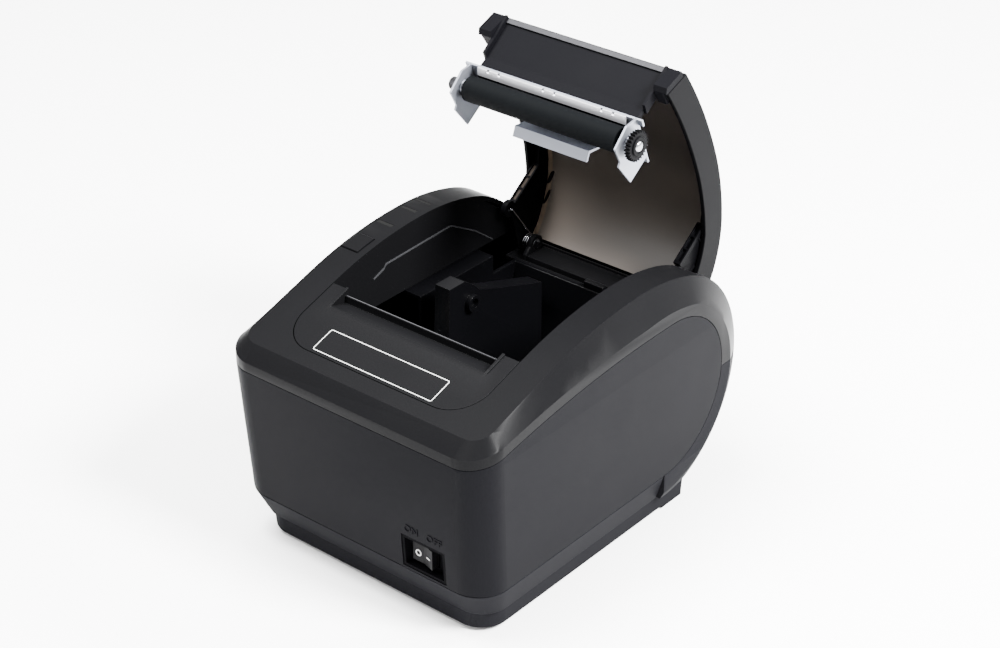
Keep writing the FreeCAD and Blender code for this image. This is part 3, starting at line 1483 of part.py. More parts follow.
CAN_AXIS = ("cutter_gear_y + motor_radius / 3", "rack_top + seam_gap + cutter_deck + motor_radius / 2")
cutter_can = rod("cutter_can", "x", "motor_radius / 2", CUTTER_CAN, CUTTER_CAN + " + motor_length", CAN_AXIS)
node(cutter_can, "cutter_motor")
SENSOR_REAR = "front + bin_depth - bin_round - bin_wall - seam_gap"
node(block("sensor", ("-boss_radius", "boss_radius"), (SENSOR_REAR + " - boss_radius", SENSOR_REAR),
           ("bin_height - 2 * boss_radius", "bin_height")), "paper_sensor")
node(block("lid_sensor", ("sensor_left", "sensor_right"),
           ("front + bin_rear", "front + beam_front - seam_gap"),
           ("bin_rear_top", "bin_rear_top + sensor_tall")), "cover_sensor")

# Electronics
board = block("board_sheet", ("-board_half", "board_half"), ("front + board_front", "panel_y - panel_thick"),
              ("board_height", "board_top"))
node(board, "main_board")
posts = []
for x in ("-board_half + post_inset", "board_half - post_inset"):
    for y in ("front + board_front + post_front", "panel_y - panel_thick - post_rear"):
        posts.append(rod("post", "z", "screw_head", "floor_top", "board_height", (x, y)))
node(group("posts", *posts), "board_posts")
node(block("key_sheet", ("-half + key_room", "-opening_half - wall"),
           ("front + button_depth - key_front", "front + light_third + key_rear"),
           ("rim_height + key_rise", "rim_height + key_rise + board_thick")), "key_board")
SOCKETS = {
    "power_inlet": "inlet",
    "usb_socket": "data",
    "network_socket": "network",
    "drawer_socket": "drawer",
}
holes = []
for label, word in SOCKETS.items():
    middle, wide, tall, rim = ("%s_%s" % (word, part) for part in ("middle", "wide", "tall", "rim"))
    x = ("%s - %s / 2" % (middle, wide), "%s + %s / 2" % (middle, wide))
    z = ("board_top", "board_top + " + tall)
    outer = block(label + "_can", x, ("panel_y - socket_length", "panel_y + socket_proud"), z)
    inside = block(label + "_mouth", (x[0] + " + " + rim, x[1] + " - " + rim),
                   ("panel_y - socket_deep", "panel_y + 2 * socket_proud"),
                   (z[0] + " + " + rim, z[1] + " - " + rim))
    node(cut(label, outer, inside), label)
    holes.append(block(label + "_hole", (x[0] + " - seam_gap", x[1] + " + seam_gap"),
                       ("panel_y - panel_thick", "panel_y"), ("board_height", z[1] + " + seam_gap")))
back = block("panel_sheet", ("-recess_half", "recess_half"), ("panel_y - panel_thick", "panel_y"),
             ("board_top + seam_gap", "panel_top"))
node(cut("panel", back, *holes), "connector_panel")

# Feet and base screws
feet = []
heads = []
for x in ("-skirt_half / 2 - foot_radius", "skirt_half / 2 + foot_radius"):
    for y in ("front + skirt_front + foot_inset + foot_radius", "front + skirt_rear - foot_inset"):
        feet.append(rod("foot", "z", "foot_radius", "0 * wall", "foot_height", (x, y)))
    for y in ("front + skirt_front + 3 * foot_inset", "front + skirt_rear - 3 * foot_inset"):
        heads.append(rod("head", "z", "screw_head", "foot_height - screw_radius / 2", "foot_height", (x, y)))
node(group("feet", *feet), "rubber_feet")
node(group("heads", *heads), "base_screws")

doc.recompute()
for thing in doc.Objects:
    if "Invalid" in thing.State or "Error" in thing.State:
        raise RuntimeError("failed: %s %s" % (thing.Label, thing.State))
for thing in NODES:
    if thing.Shape.isNull() or not thing.Shape.isValid():
        raise RuntimeError("bad shape: " + thing.Label)

os.makedirs("parts", exist_ok=True)
for thing in NODES:
    thing.Shape.exportStep("parts/%s.step" % thing.Label)
print(len(NODES), "pieces written")
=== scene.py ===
"""Dresses a receipt printer with its cover raised: finishes, fine pieces, marks and the studio round it."""

import json
import math

import bmesh
import bpy
import numpy as np
from bpy.props import FloatProperty, FloatVectorProperty, PointerProperty
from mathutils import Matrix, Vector


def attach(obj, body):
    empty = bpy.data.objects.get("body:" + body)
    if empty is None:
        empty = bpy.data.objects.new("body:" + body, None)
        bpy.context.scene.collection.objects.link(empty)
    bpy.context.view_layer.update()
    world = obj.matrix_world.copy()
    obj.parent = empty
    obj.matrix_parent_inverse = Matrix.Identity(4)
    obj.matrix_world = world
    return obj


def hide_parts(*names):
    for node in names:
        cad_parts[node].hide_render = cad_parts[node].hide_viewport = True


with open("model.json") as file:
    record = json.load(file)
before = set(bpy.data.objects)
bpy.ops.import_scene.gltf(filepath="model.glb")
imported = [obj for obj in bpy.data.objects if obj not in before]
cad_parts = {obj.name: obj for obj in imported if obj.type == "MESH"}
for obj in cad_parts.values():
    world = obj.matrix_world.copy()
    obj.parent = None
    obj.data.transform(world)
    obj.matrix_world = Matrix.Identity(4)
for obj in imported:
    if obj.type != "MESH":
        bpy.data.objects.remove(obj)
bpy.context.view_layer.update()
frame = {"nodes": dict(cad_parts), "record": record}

bl_info = {
    "name": "Receipt printer dresser",
    "version": (1, 0, 0),
    "blender": (4, 5, 0),
    "location": "View3D > Sidebar > Printer",
    "description": "Gives the receipt printer its finishes, fine pieces, marks and studio",
    "category": "Object",
}

MM = 0.001
SLOT_OF = {row["node"]: row["material_slot"] for row in frame["record"]["subparts"]}
BODY_OF = {name: body for body, names in frame["record"]["behaviour"]["bodies"].items() for name in names}
JOINT = {joint["name"]: joint for joint in frame["record"]["behaviour"]["joints"]}


def linear(code):
    """A linear colour with alpha from an sRGB hex code."""
    parts = np.array([int(code[i:i + 2], 16) for i in (1, 3, 5)]) / 255
    low = parts / 12.92
    high = ((parts + 0.055) / 1.055) ** 2.4
    return tuple(np.where(parts <= 0.04045, low, high)) + (1.0,)


def colour(name, description, code):
    return FloatVectorProperty(name=name, description=description, subtype="COLOR", size=4, min=0, max=1,
                               default=linear(code))


def length(name, description, millimetres):
    return FloatProperty(name=name, description=description, unit="LENGTH", default=millimetres * MM)


class PrinterColours(bpy.types.PropertyGroup):
    """Colours of the finishes."""

    case: colour("Case", "Textured black case plastic", "#09090a")
    panel: colour("Panels", "Front and side panel plastic", "#08080a")
    base: colour("Base", "Matt plastic of the base", "#101012")
    # The trim colour is lighter than the case: a painted highlight for the glossy edges inside the arms and
    # on the deck's lip
    trim: colour("Trim", "Polished edge inside the arms", "#2a2a2c")
    cell: colour("Strut cells", "Smoked floor of the strut's cells", "#2a2521")
    tub: colour("Bin", "Plastic of the roll bin and divider", "#040405")
    cover: colour("Cover", "Outside of the smoked cover", "#050506")
    # The three lining colours are painted light coming through the smoked cover: pale by the hinge, nearly
    # black by the nose, paler again along the left side
    smoke_painted_light: colour("Lining, low", "Cover lining near the hinge", "#4d4640")
    smoke_painted_shade: colour("Lining, high", "Cover lining near the nose", "#120d0a")
    smoke_painted_edge_light: colour("Lining, edge", "Cover lining where light comes round its side", "#6f5f4e")
    zinc: colour("Zinc", "Plated sheet steel", "#7d8088")
    steel: colour("Steel", "Ground steel", "#8e8f92")
    blade: colour("Blade", "Bright sheet of the fixed blade", "#c8c8cc")
    dull: colour("Dull steel", "Blackened steel of the tear edge", "#2e2e30")
    rubber: colour("Rubber", "Platen rubber", "#040506")
    acetal: colour("Acetal", "Black gears", "#080809")
    lens: colour("Lenses", "Smoked acrylic of the light bars", "#111111")
    ink: colour("Ink", "White printed marks", "#b4b4b2")
    laminate: colour("Laminate", "Circuit boards", "#14532d")
    brass: colour("Brass", "Board posts", "#b08d4a")
    ceramic: colour("Ceramic", "Fired substrate of the print head", "#b9b4a6")
    floor: colour("Floor", "Studio floor", "#fdfdfd")


class PrinterSizes(bpy.types.PropertyGroup):
    """Sizes of the fine pieces."""

    edge: length("Edge round", "Round on the edges of moulded pieces", 0.45)
    sheet_edge: length("Sheet edge", "Round on the edges of metal pieces", 0.12)
    border: length("Border line", "Width of the printed border line", 0.3)
    proud: length("Mark height", "How far a printed mark stands proud", 0.06)
    letter: length("Letter height", "Height of the raised letters over the switch", 5.0)
    emboss: length("Letter rise", "How far the letters stand out of the front", 0.25)
    lining: length("Lining", "Thickness of the cover's lining", 0.07)
    trim: length("Trim", "How far the trim inside the arms stands out", 0.45)
    knurl: length("Knurl", "Depth of the grooves of the platen's knurled end", 0.22)


class PrinterStage(bpy.types.PropertyGroup):
    """Camera and light."""

    eye: FloatVectorProperty(name="Eye", description="Camera place", subtype="TRANSLATION", size=3,
                             default=(0.5562, -0.66813, 0.5932))
    turn: FloatProperty(name="Turn", description="Camera turn to the right of the front", subtype="ANGLE",
                        default=math.radians(39.66))
    tip: FloatProperty(name="Tip", description="How far the camera looks down", subtype="ANGLE",
                       default=math.radians(30.0))
    lens: FloatProperty(name="Lens", description="Focal length", unit="CAMERA", default=82.2)
    key: FloatProperty(name="Key light", description="Power of the main softbox in watts", default=140.0)
    side: FloatProperty(name="Side light", description="Power of the softbox high at the right in watts",
                        default=120.0)
    back: FloatProperty(name="Back light", description="Power of the softbox behind at the right in watts",
                        default=60.0)
    fill: FloatProperty(name="Fill light", description="Power of the front light in watts", default=4.0)
    sky: FloatProperty(name="Sky", description="Strength of the even studio light", default=1.5)


def colours():
    return bpy.context.scene.printer_colours


def sizes():
    return bpy.context.scene.printer_sizes


def add(tree, kind, values=None, links=None, **settings):
    """Adds a node: settings are its own choices, values its unlinked inputs, links its linked ones."""
    node = tree.nodes.new(kind)
    for key, value in settings.items():
        setattr(node, key, value)
    for key, value in (values or {}).items():
        node.inputs[key].default_value = value
    for key, source in (links or {}).items():
        tree.links.new(source, node.inputs[key])
    return node


def surface(name, base, **values):
    """An empty material with one Principled shader, whose even values are set on its own sockets."""
    material = bpy.data.materials.new(name)
    material.use_nodes = True
    tree = material.node_tree
    shader = tree.nodes["Principled BSDF"]
    shader.inputs["Base Color"].default_value = base
    for key, value in values.items():
        shader.inputs[key.replace("_", " ").title().replace("Ior", "IOR")].default_value = value
    material.diffuse_color = base
    return material, tree, shader


def moulded_abs(name, base, roughness, grain_mm=0.7, relief_mm=0.03, gloss=0.01):
    """ABS moulded in a spark-eroded tool: a fine even pebble that breaks up highlights, and an uneven sheen.

    The real pebble is about 0.1 mm and too fine to show, so it is drawn several times as coarse. gloss is the
    share of light that the skin mirrors, low because the studio is white all round.
    """
    material, tree, shader = surface(name, base, roughness=roughness, ior=1.53, specular_ior_level=gloss)
    place = add(tree, "ShaderNodeTexCoord").outputs["Object"]
    pebble = add(tree, "ShaderNodeTexNoise", {"Scale": 1 / (grain_mm * MM), "Detail": 2.0, "Roughness": 0.55},
                 {"Vector": place})
    sheen = add(tree, "ShaderNodeTexNoise", {"Scale": 1 / (28 * MM), "Detail": 3.0}, {"Vector": place})
    spread = add(tree, "ShaderNodeMapRange", {"To Min": roughness - 0.06, "To Max": roughness + 0.06},
                 {"Value": sheen.outputs["Fac"]})
    tree.links.new(spread.outputs["Result"], shader.inputs["Roughness"])
    shade = add(tree, "ShaderNodeMapRange", {"To Min": 0.86, "To Max": 1.16},
                {"Value": pebble.outputs["Fac"]})
    tint = add(tree, "ShaderNodeMix", {"Factor": 1.0, "A": base}, {"B": shade.outputs["Result"]},
               data_type="RGBA", blend_type="MULTIPLY")
    tree.links.new(tint.outputs["Result"], shader.inputs["Base Color"])
    bump = add(tree, "ShaderNodeBump", {"Strength": 0.35, "Distance": relief_mm * MM},
               {"Height": pebble.outputs["Fac"]})
    tree.links.new(bump.outputs["Normal"], shader.inputs["Normal"])
    return material


def zinc_plated_sheet(name, base):
    """Cold-rolled steel sheet with satin zinc: pale silver, with faint cloudy patches and rolling lines."""
    material, tree, shader = surface(name, base, metallic=0.85, roughness=0.45)
    place = add(tree, "ShaderNodeTexCoord").outputs["Object"]
    cloud = add(tree, "ShaderNodeTexNoise", {"Scale": 1 / (9 * MM), "Detail": 2.0}, {"Vector": place})
    along = add(tree, "ShaderNodeMapping", {"Scale": (1 / (12 * MM), 1 / (0.5 * MM), 1 / (0.5 * MM))},
                {"Vector": place})
    lines = add(tree, "ShaderNodeTexNoise", {"Scale": 1.0, "Detail": 2.0},
                {"Vector": along.outputs["Vector"]})
    mixed = add(tree, "ShaderNodeMath", {}, {0: cloud.outputs["Fac"], 1: lines.outputs["Fac"]},
                operation="MULTIPLY")
    spread = add(tree, "ShaderNodeMapRange", {"From Max": 0.5, "To Min": 0.4, "To Max": 0.52},
                 {"Value": mixed.outputs["Value"]})
    tree.links.new(spread.outputs["Result"], shader.inputs["Roughness"])
    return material


def ground_steel(name, base, roughness=0.26):
    """Ground bar steel: bright, with fine scratches across the bar that blur the highlight along it."""
    material, tree, shader = surface(name, base, metallic=1.0, roughness=roughness)
    place = add(tree, "ShaderNodeTexCoord").outputs["Object"]
    around = add(tree, "ShaderNodeMapping", {"Scale": (1 / (0.35 * MM), 1 / (9 * MM), 1 / (9 * MM))},
                 {"Vector": place})
    scratch = add(tree, "ShaderNodeTexNoise", {"Scale": 1.0, "Detail": 3.0},
                  {"Vector": around.outputs["Vector"]})
    spread = add(tree, "ShaderNodeMapRange", {"To Min": roughness - 0.08, "To Max": roughness + 0.12},
                 {"Value": scratch.outputs["Fac"]})
    tree.links.new(spread.outputs["Result"], shader.inputs["Roughness"])
    return material


def drawn_wire(name, base):
    """Bright drawn and nickelled wire: nearly a mirror, with faint draw lines."""
    material, tree, shader = surface(name, base, metallic=1.0, roughness=0.14)
    place = add(tree, "ShaderNodeTexCoord").outputs["Object"]
    haze = add(tree, "ShaderNodeTexNoise", {"Scale": 1 / (1.5 * MM), "Detail": 2.0}, {"Vector": place})
    spread = add(tree, "ShaderNodeMapRange", {"To Min": 0.1, "To Max": 0.22}, {"Value": haze.outputs["Fac"]})
    tree.links.new(spread.outputs["Result"], shader.inputs["Roughness"])
    return material


def ground_rubber(name, base):
    """Nitrile rubber ground to size: near black, matte, with fine grinding rings."""
    material, tree, shader = surface(name, base, roughness=0.72, ior=1.5, specular_ior_level=0.03)
    place = add(tree, "ShaderNodeTexCoord").outputs["Object"]
    rings = add(tree, "ShaderNodeMapping", {"Scale": (1 / (0.6 * MM), 1 / (6 * MM), 1 / (6 * MM))},
                {"Vector": place})
    grit = add(tree, "ShaderNodeTexNoise", {"Scale": 1.0, "Detail": 3.0}, {"Vector": rings.outputs["Vector"]})
    bump = add(tree, "ShaderNodeBump", {"Strength": 0.3, "Distance": 0.03 * MM},
               {"Height": grit.outputs["Fac"]})
    tree.links.new(bump.outputs["Normal"], shader.inputs["Normal"])
    shade = add(tree, "ShaderNodeMapRange", {"To Min": 0.8, "To Max": 1.25}, {"Value": grit.outputs["Fac"]})
    tint = add(tree, "ShaderNodeMix", {"Factor": 1.0, "A": base}, {"B": shade.outputs["Result"]},
               data_type="RGBA", blend_type="MULTIPLY")
    tree.links.new(tint.outputs["Result"], shader.inputs["Base Color"])
    return material


def solder_mask(name, base):
    """Glass-fibre laminate under green solder mask: glossy, with the copper pattern faintly showing."""
    material, tree, shader = surface(name, base, roughness=0.35, ior=1.5)
    place = add(tree, "ShaderNodeTexCoord").outputs["Object"]
    track = add(tree, "ShaderNodeTexBrick", {"Scale": 1 / (6 * MM), "Color1": base,
                                             "Color2": linear("#1d6b3c"), "Mortar": linear("#2f8a55")},
                {"Vector": place})
    tree.links.new(track.outputs["Color"], shader.inputs["Base Color"])
    return material


def glazed_alumina(name, base):
    """Fired alumina under a thin glaze: off-white, smooth and bright, a little uneven in its gloss."""
    material, tree, shader = surface(name, base, roughness=0.2, ior=1.76)
    place = add(tree, "ShaderNodeTexCoord").outputs["Object"]
    flow = add(tree, "ShaderNodeTexNoise", {"Scale": 1 / (5 * MM)}, {"Vector": place})
    spread = add(tree, "ShaderNodeMapRange", {"To Min": 0.14, "To Max": 0.28}, {"Value": flow.outputs["Fac"]})
    tree.links.new(spread.outputs["Result"], shader.inputs["Roughness"])
    return material


def screen_ink(name, base):
    """Screen-printed ink: a flat opaque film with a slight tooth."""
    material, tree, shader = surface(name, base, roughness=0.6, ior=1.5)
    place = add(tree, "ShaderNodeTexCoord").outputs["Object"]
    tooth = add(tree, "ShaderNodeTexNoise", {"Scale": 1 / (0.5 * MM)}, {"Vector": place})
    spread = add(tree, "ShaderNodeMapRange", {"To Min": 0.5, "To Max": 0.7}, {"Value": tooth.outputs["Fac"]})
    tree.links.new(spread.outputs["Result"], shader.inputs["Roughness"])
    return material


def smoked_lining(name, low, high, edge):
    """Smoked polycarbonate seen from inside, with painted light: grey-brown where light comes through, nearly
    black by the nose.

    Along the cover the painted light runs from low to high, and a paler strip of painted light lies along the
    left side.
    """
    material, tree, shader = surface(name, low, roughness=0.36, ior=1.58)
    place = add(tree, "ShaderNodeUVMap", uv_map="along").outputs["UV"]
    split = add(tree, "ShaderNodeSeparateXYZ", {}, {"Vector": place})
    spot = add(tree, "ShaderNodeTexCoord").outputs["Object"]
    haze = add(tree, "ShaderNodeTexNoise", {"Scale": 1 / (35 * MM), "Detail": 2.0}, {"Vector": spot})
    sway = add(tree, "ShaderNodeMapRange", {"To Min": -0.06, "To Max": 0.06}, {"Value": haze.outputs["Fac"]})
    total = add(tree, "ShaderNodeMath", {}, {0: split.outputs["Y"], 1: sway.outputs["Result"]})
    # Painted light: the tint darkens along the cover from the hinge to the nose
    ramp = add(tree, "ShaderNodeMapRange", {"From Min": 0.02, "From Max": 0.6},
               {"Value": total.outputs["Value"]}, interpolation_type="SMOOTHSTEP")
    tint = add(tree, "ShaderNodeMix", {"A": low, "B": high}, {"Factor": ramp.outputs["Result"]},
               data_type="RGBA")
    # Painted light: a paler strip along the cover's left side
    side = add(tree, "ShaderNodeMapRange",
               {"From Min": 0.045, "From Max": 0.06, "To Min": 0.8, "To Max": 0.0},
               {"Value": split.outputs["X"]}, interpolation_type="SMOOTHSTEP")
    both = add(tree, "ShaderNodeMix", {"B": edge},
               {"Factor": side.outputs["Result"], "A": tint.outputs["Result"]}, data_type="RGBA")
    tree.links.new(both.outputs["Result"], shader.inputs["Base Color"])
    return material


# Nodes whose finish differs from the rest of their slot
NODE_FINISH = {"tear_bar": "tear_edge", "status_lights": "light_lens", "fixed_blade": "bright_blade",
               "bracket_screws": "tear_edge", "platen_end_bush": "tear_edge",
               "switch_housing": "switch_abs", "base_tray": "base_abs", "rear_cover": "base_abs",
               "lid_nose": "grey_panel_abs"}
# Each finish's maker, material name and colours, then the roughness of steel, or the roughness, the grain and
# relief in millimetres and the gloss of plastic, where they differ from the maker's own
FINISH_OF = {
    "galvanised_sheet": (zinc_plated_sheet, "zinc plated sheet steel", ("zinc",)),
    "bright_blade": (zinc_plated_sheet, "bright blade steel", ("blade",)),
    "panel_steel": (zinc_plated_sheet, "zinc plated socket panel", ("zinc",)),
    "ground_steel": (ground_steel, "ground steel", ("steel",)),
    "motor_steel": (ground_steel, "motor steel", ("steel",)),
    "socket_shell": (ground_steel, "socket shell", ("steel",)),
    "sink_aluminium": (ground_steel, "sink aluminium", ("steel",)),
    "brass_posts": (ground_steel, "turned brass", ("brass",)),
    "tear_edge": (ground_steel, "blackened steel edge", ("dull",), 0.5),
    "bright_wire": (drawn_wire, "bright drawn wire", ("steel",)),
    "head_ceramic": (glazed_alumina, "glazed alumina", ("ceramic",)),
    "platen_rubber": (ground_rubber, "ground nitrile rubber", ("rubber",)),
    "foot_rubber": (ground_rubber, "moulded foot rubber", ("rubber",)),
    "board_laminate": (solder_mask, "solder masked laminate", ("laminate",)),
    "white_ink": (screen_ink, "white screen ink", ("ink",)),
    "smoked_lining": (smoked_lining, "smoked polycarbonate inside",
                      ("smoke_painted_light", "smoke_painted_shade", "smoke_painted_edge_light")),
    "smoked_cell": (moulded_abs, "smoked polycarbonate cell", ("cell",), 0.4, 1.6, 0.01),
    "smoked_cover": (moulded_abs, "smoked cover polycarbonate", ("cover",), 0.36, 1.6, 0.012),
    "light_lens": (moulded_abs, "smoked acrylic lens", ("lens",), 0.25, 1.6, 0.005),
    "gear_plastic": (moulded_abs, "moulded acetal", ("acetal",), 0.38, 1.5, 0.01),
    "grey_panel_abs": (moulded_abs, "spark textured panel ABS", ("panel",), 0.42),
    "black_abs": (moulded_abs, "spark textured black abs", ("case",), 0.34, 0.7, 0.03, 0.018),
    "key_plastic": (moulded_abs, "spark textured key plastic", ("case",), 0.34, 0.7, 0.03, 0.018),
    "bin_abs": (moulded_abs, "satin bin abs", ("tub",), 0.3, 1.2, 0.01, 0.08),
    "black_strip": (moulded_abs, "satin black strip", ("tub",), 0.3, 1.2, 0.01, 0.08),
    "socket_plastic": (moulded_abs, "satin socket plastic", ("tub",), 0.3, 1.2, 0.01, 0.08),
    "trim_abs": (moulded_abs, "polished trim ABS", ("trim",), 0.22, 1.6, 0.004, 0.5),
    "base_abs": (moulded_abs, "matt base ABS", ("base",), 0.5, 0.7, 0.03, 0.004),
    "switch_abs": (moulded_abs, "matt switch ABS", ("tub",), 0.5, 0.7, 0.03, 0.004),
}
FINISHES = {}


def finish(slot):
    """The material of a slot, made once."""
    if slot not in FINISHES:
        maker, name, tints, *settings = FINISH_OF[slot]
        FINISHES[slot] = maker(name, *(getattr(colours(), tint) for tint in tints), *settings)
    return FINISHES[slot]


def dress(thing, body, slot, *nodes):
    """Gives a finished piece its material, its body and the nodes it stands for."""
    thing.data.materials.clear()
    thing.data.materials.append(finish(slot))
    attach(thing, body)
    if nodes:
        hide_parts(*nodes)
    return thing


# How near points are one point, in metres, and the angles below which faces are one face, shade as one
# surface and get no round where they meet
MERGE_DISTANCE = 1e-6
FLAT_ANGLE = math.radians(0.1)
SHARP_ANGLE = math.radians(30)
ROUND_ANGLE = math.radians(32)


def softened(node, width, segments=2):
    """A merged copy of a node's mesh, with a small round along its sharp edges."""
    mesh = frame["nodes"][node].data.copy()
    work = bmesh.new()
    work.from_mesh(mesh)
    bmesh.ops.remove_doubles(work, verts=work.verts, dist=MERGE_DISTANCE)
    bmesh.ops.dissolve_limit(work, angle_limit=FLAT_ANGLE, verts=work.verts, edges=work.edges)
    work.to_mesh(mesh)
    work.free()
    thing = bpy.data.objects.new(node + "_finished", mesh)
    bpy.context.scene.collection.objects.link(thing)
    mesh.polygons.foreach_set("use_smooth", np.ones(len(mesh.polygons), bool))
    mesh.set_sharp_from_angle(angle=SHARP_ANGLE)
    edges = thing.modifiers.new("edge round", "BEVEL")
    edges.width = width
    edges.segments = segments
    edges.limit_method = "ANGLE"
    edges.angle_limit = ROUND_ANGLE
    edges.harden_normals = True
    return dress(thing, BODY_OF[node], NODE_FINISH.get(node, SLOT_OF[node]), node)


def soften_all(nodes, width):
    for node in nodes:
        softened(node, width)


# Places are in millimetres: x to the right, depth behind the front face and height above the desk
ORIGIN_DEPTH = 97.03
HINGE = (174.5, 86.0)
OPEN_ANGLE = math.radians(68.3)
PLATEN = (69.5, 79.2)
CROWN = 123.4
CROWN_DEPTH = 112.0
FRONT_ARC = 207.0
REAR_ARC = 113.92
REAR_JOINT = 146.52
ROUND = (129.4, 64.2, 56.5)
DECK_JOINT = 50.0
DECK_SLOPE = 0.31393
FRONT_LEAN = 4.2 / 66.6
FRONT_TOP = 89.5
LID_WALL = 2.2
LINING_SPAN = (62.0, 178.4)
LINING_HALF = 49.3
ARM_INSIDE = 52.4
TRIM_BENDS = ((75.0, 104.6), (82.4, 107.3), (82.9, 108.9), (127.5, 110.4), (145.1, 100.6), (157.0, 91.6))
TRIM_SINK = 0.2
# The rear lip of the deck: half its length, its middle depth, its top and the width of the painted highlight
# strip on its edge
LIP = (42.4, 47.6, 111.76, 0.4)
TRIM_TALL = 0.7
TRIM_STEPS = 120
# The bare field on the deck: its middle depth, half its width, half its length along the slope and its corner
BORDER = (22.0, 33.0, 6.3, 0.8)
CORNER_STEPS = 10
SWITCH_WORDS = (("ON", 32.6, 45.0), ("OFF", 45.2, 45.0))
# Half the rocker's width, how far its middle line stands before the pivot, and the slope of each face
ROCKER_PIVOT = np.array(JOINT["rocker_tilt"]["pos_m"])
ROCKER_HALF = 6.1
ROCKER_RISE = 2.0
ROCKER_TILT = math.radians(8.0)
RING_RADIUS = 1.3
RING_STEPS = 48
MARK_LINE = 0.4
MARK_DROP = 0.5
BAR_LONG = 2.4
# The left strut's middle line as depth and height at both ends, and the cells in its front face
STRUT_FOOT = (151.48, 83.47)
STRUT_TOP = (145.0, 108.0)
CELL_COUNT = 3
CELL_FIRST = 4.8
CELL_RIM = 0.8
CELL_FLOOR = 0.3
CELL_SPAN = (46.2, 48.4)
# Two dark leaf shapes by the left strut: x and depth of both ends, and the greatest width
DARK_LEAVES = (((-46.3, 159.4), (-42.8, 153.6), 4.2), ((-46.3, 167.8), (-43.6, 162.2), 3.8))
LEAF_RISE = 0.5
LEAF_STEPS = 24
# How far the lining and the dark leaves lie inside the cover's wall, and the counts of points over them
LINING_GAP = 0.01
LEAF_GAP = 0.1
LINING_STEPS = (60, 160)
SKIN_STEPS = 400
# Outlines of the platen's turned pieces, as x and radius
SHAFT_OUTLINE = ((-51.8, 0.01), (-51.8, 2.0), (-51.4, 2.4), (50.9, 2.4), (51.3, 2.15), (51.6, 1.6),
                 (51.8, 0.8), (51.8, 0.01))
BUSH_OUTLINE = ((-51.8, 2.42), (-51.8, 2.7), (-51.5, 3.0), (-48.4, 3.0), (-48.1, 2.7), (-48.1, 2.42))
HUB_OUTLINE = ((50.55, 2.5), (50.55, 4.4), (51.1, 4.4), (51.35, 4.1), (51.35, 2.9), (51.1, 2.5))
KNURL_COUNT = 30
KNURL_BAND = 0.05
# Softboxes: the stage value of their power, their place and their side in metres
SOFTBOXES = (
    ("key softbox", "key", (-0.35, -0.25, 1.5), 0.9),
    ("side softbox", "side", (0.95, 0.1, 1.0), 0.35),
    ("back softbox", "back", (0.75, 1.0, 0.95), 0.45),
    ("front fill", "fill", (-0.6, -1.4, 0.7), 0.8),
)
AIM = (0, 0, 0.08)
FLOOR_REACH = 3.0
SENSOR_WIDTH = 36.0


def placed(x, depth, height):
    """Grid points in metres from arrays of millimetres that are spread over one another."""
    grid = np.broadcast_arrays(x, np.asarray(depth) - ORIGIN_DEPTH, height)
    return np.stack(grid, -1) * MM


def raised(x, depth, height):
    """Points of the closed cover turned up about its hinge: a turn in the plane of depth and height."""
    behind = np.asarray(depth) - HINGE[0]
    above = np.asarray(height) - HINGE[1]
    cosine, sine = math.cos(OPEN_ANGLE), math.sin(OPEN_ANGLE)
    return placed(x, HINGE[0] + behind * cosine + above * sine, HINGE[1] - behind * sine + above * cosine)


def cover_skin(depth, inset):
    """Depth and height of the closed cover's skin, moved inwards.

    The skin is three arcs in a row, and the move is along its normal, from the gradient of the curve.
    """
    front = CROWN - FRONT_ARC + np.sqrt(FRONT_ARC ** 2 - (CROWN_DEPTH - depth) ** 2)
    rear = CROWN - REAR_ARC + np.sqrt(REAR_ARC ** 2 - (depth - CROWN_DEPTH) ** 2)
    last = ROUND[1] + np.sqrt(np.maximum(ROUND[2] ** 2 - (depth - ROUND[0]) ** 2, 0))
    height = np.select([depth < CROWN_DEPTH, depth < REAR_JOINT], [front, rear], last)
    slope = np.gradient(height, depth)
    scale = inset / np.sqrt(1 + slope ** 2)
    return depth + slope * scale, height - scale


def woven(name, points, around=False, ring=False):
    """A piece over a grid of points: one quad between each four neighbours.

    around joins the last column to the first, and ring the last row to the first. A tube without ring gets
    flat ends.
    """
    rows, columns = points.shape[:2]
    index = np.arange(rows * columns).reshape(rows, columns)
    ends = [index[0][::-1].tolist(), index[-1].tolist()] if around and not ring else []
    if around:
        index = np.concatenate([index, index[:, :1]], 1)
    if ring:
        index = np.concatenate([index, index[:1]], 0)
    quads = np.stack([index[:-1, :-1], index[:-1, 1:], index[1:, 1:], index[1:, :-1]], -1).reshape(-1, 4)
    mesh = bpy.data.meshes.new(name)
    mesh.from_pydata(points.reshape(-1, 3).tolist(), [], quads.tolist() + ends)
    return linked(name, mesh)


def linked(name, mesh):
    """An object for a mesh, with its faces turned outwards and smooth where they meet at a small angle."""
    work = bmesh.new()
    work.from_mesh(mesh)
    bmesh.ops.recalc_face_normals(work, faces=work.faces)
    work.to_mesh(mesh)
    work.free()
    mesh.polygons.foreach_set("use_smooth", np.ones(len(mesh.polygons), bool))
    mesh.set_sharp_from_angle(angle=SHARP_ANGLE)
    thing = bpy.data.objects.new(name, mesh)
    bpy.context.scene.collection.objects.link(thing)
    return thing


def turned_bar(name, profile, place, segments=64, ripple=None):
    """A bar along x: a closed outline of (x, radius) corners carried round the axis at a depth and height.

    ripple, if given, is a pair: how deep grooves go into the outer corners and how many lie round the bar.
    """
    x, radius = np.array(profile).T
    angle = np.linspace(0, 2 * np.pi, segments, endpoint=False)[:, None]
    spread = np.repeat(radius[None], segments, 0)
    if ripple:
        outer = radius > radius.max() - KNURL_BAND
        spread = spread - outer * ripple[0] * (0.5 - 0.5 * np.cos(ripple[1] * angle))
    grid = raised(x[None], place[0] + spread * np.cos(angle), place[1] + spread * np.sin(angle))
    return woven(name, grid, around=True, ring=True)


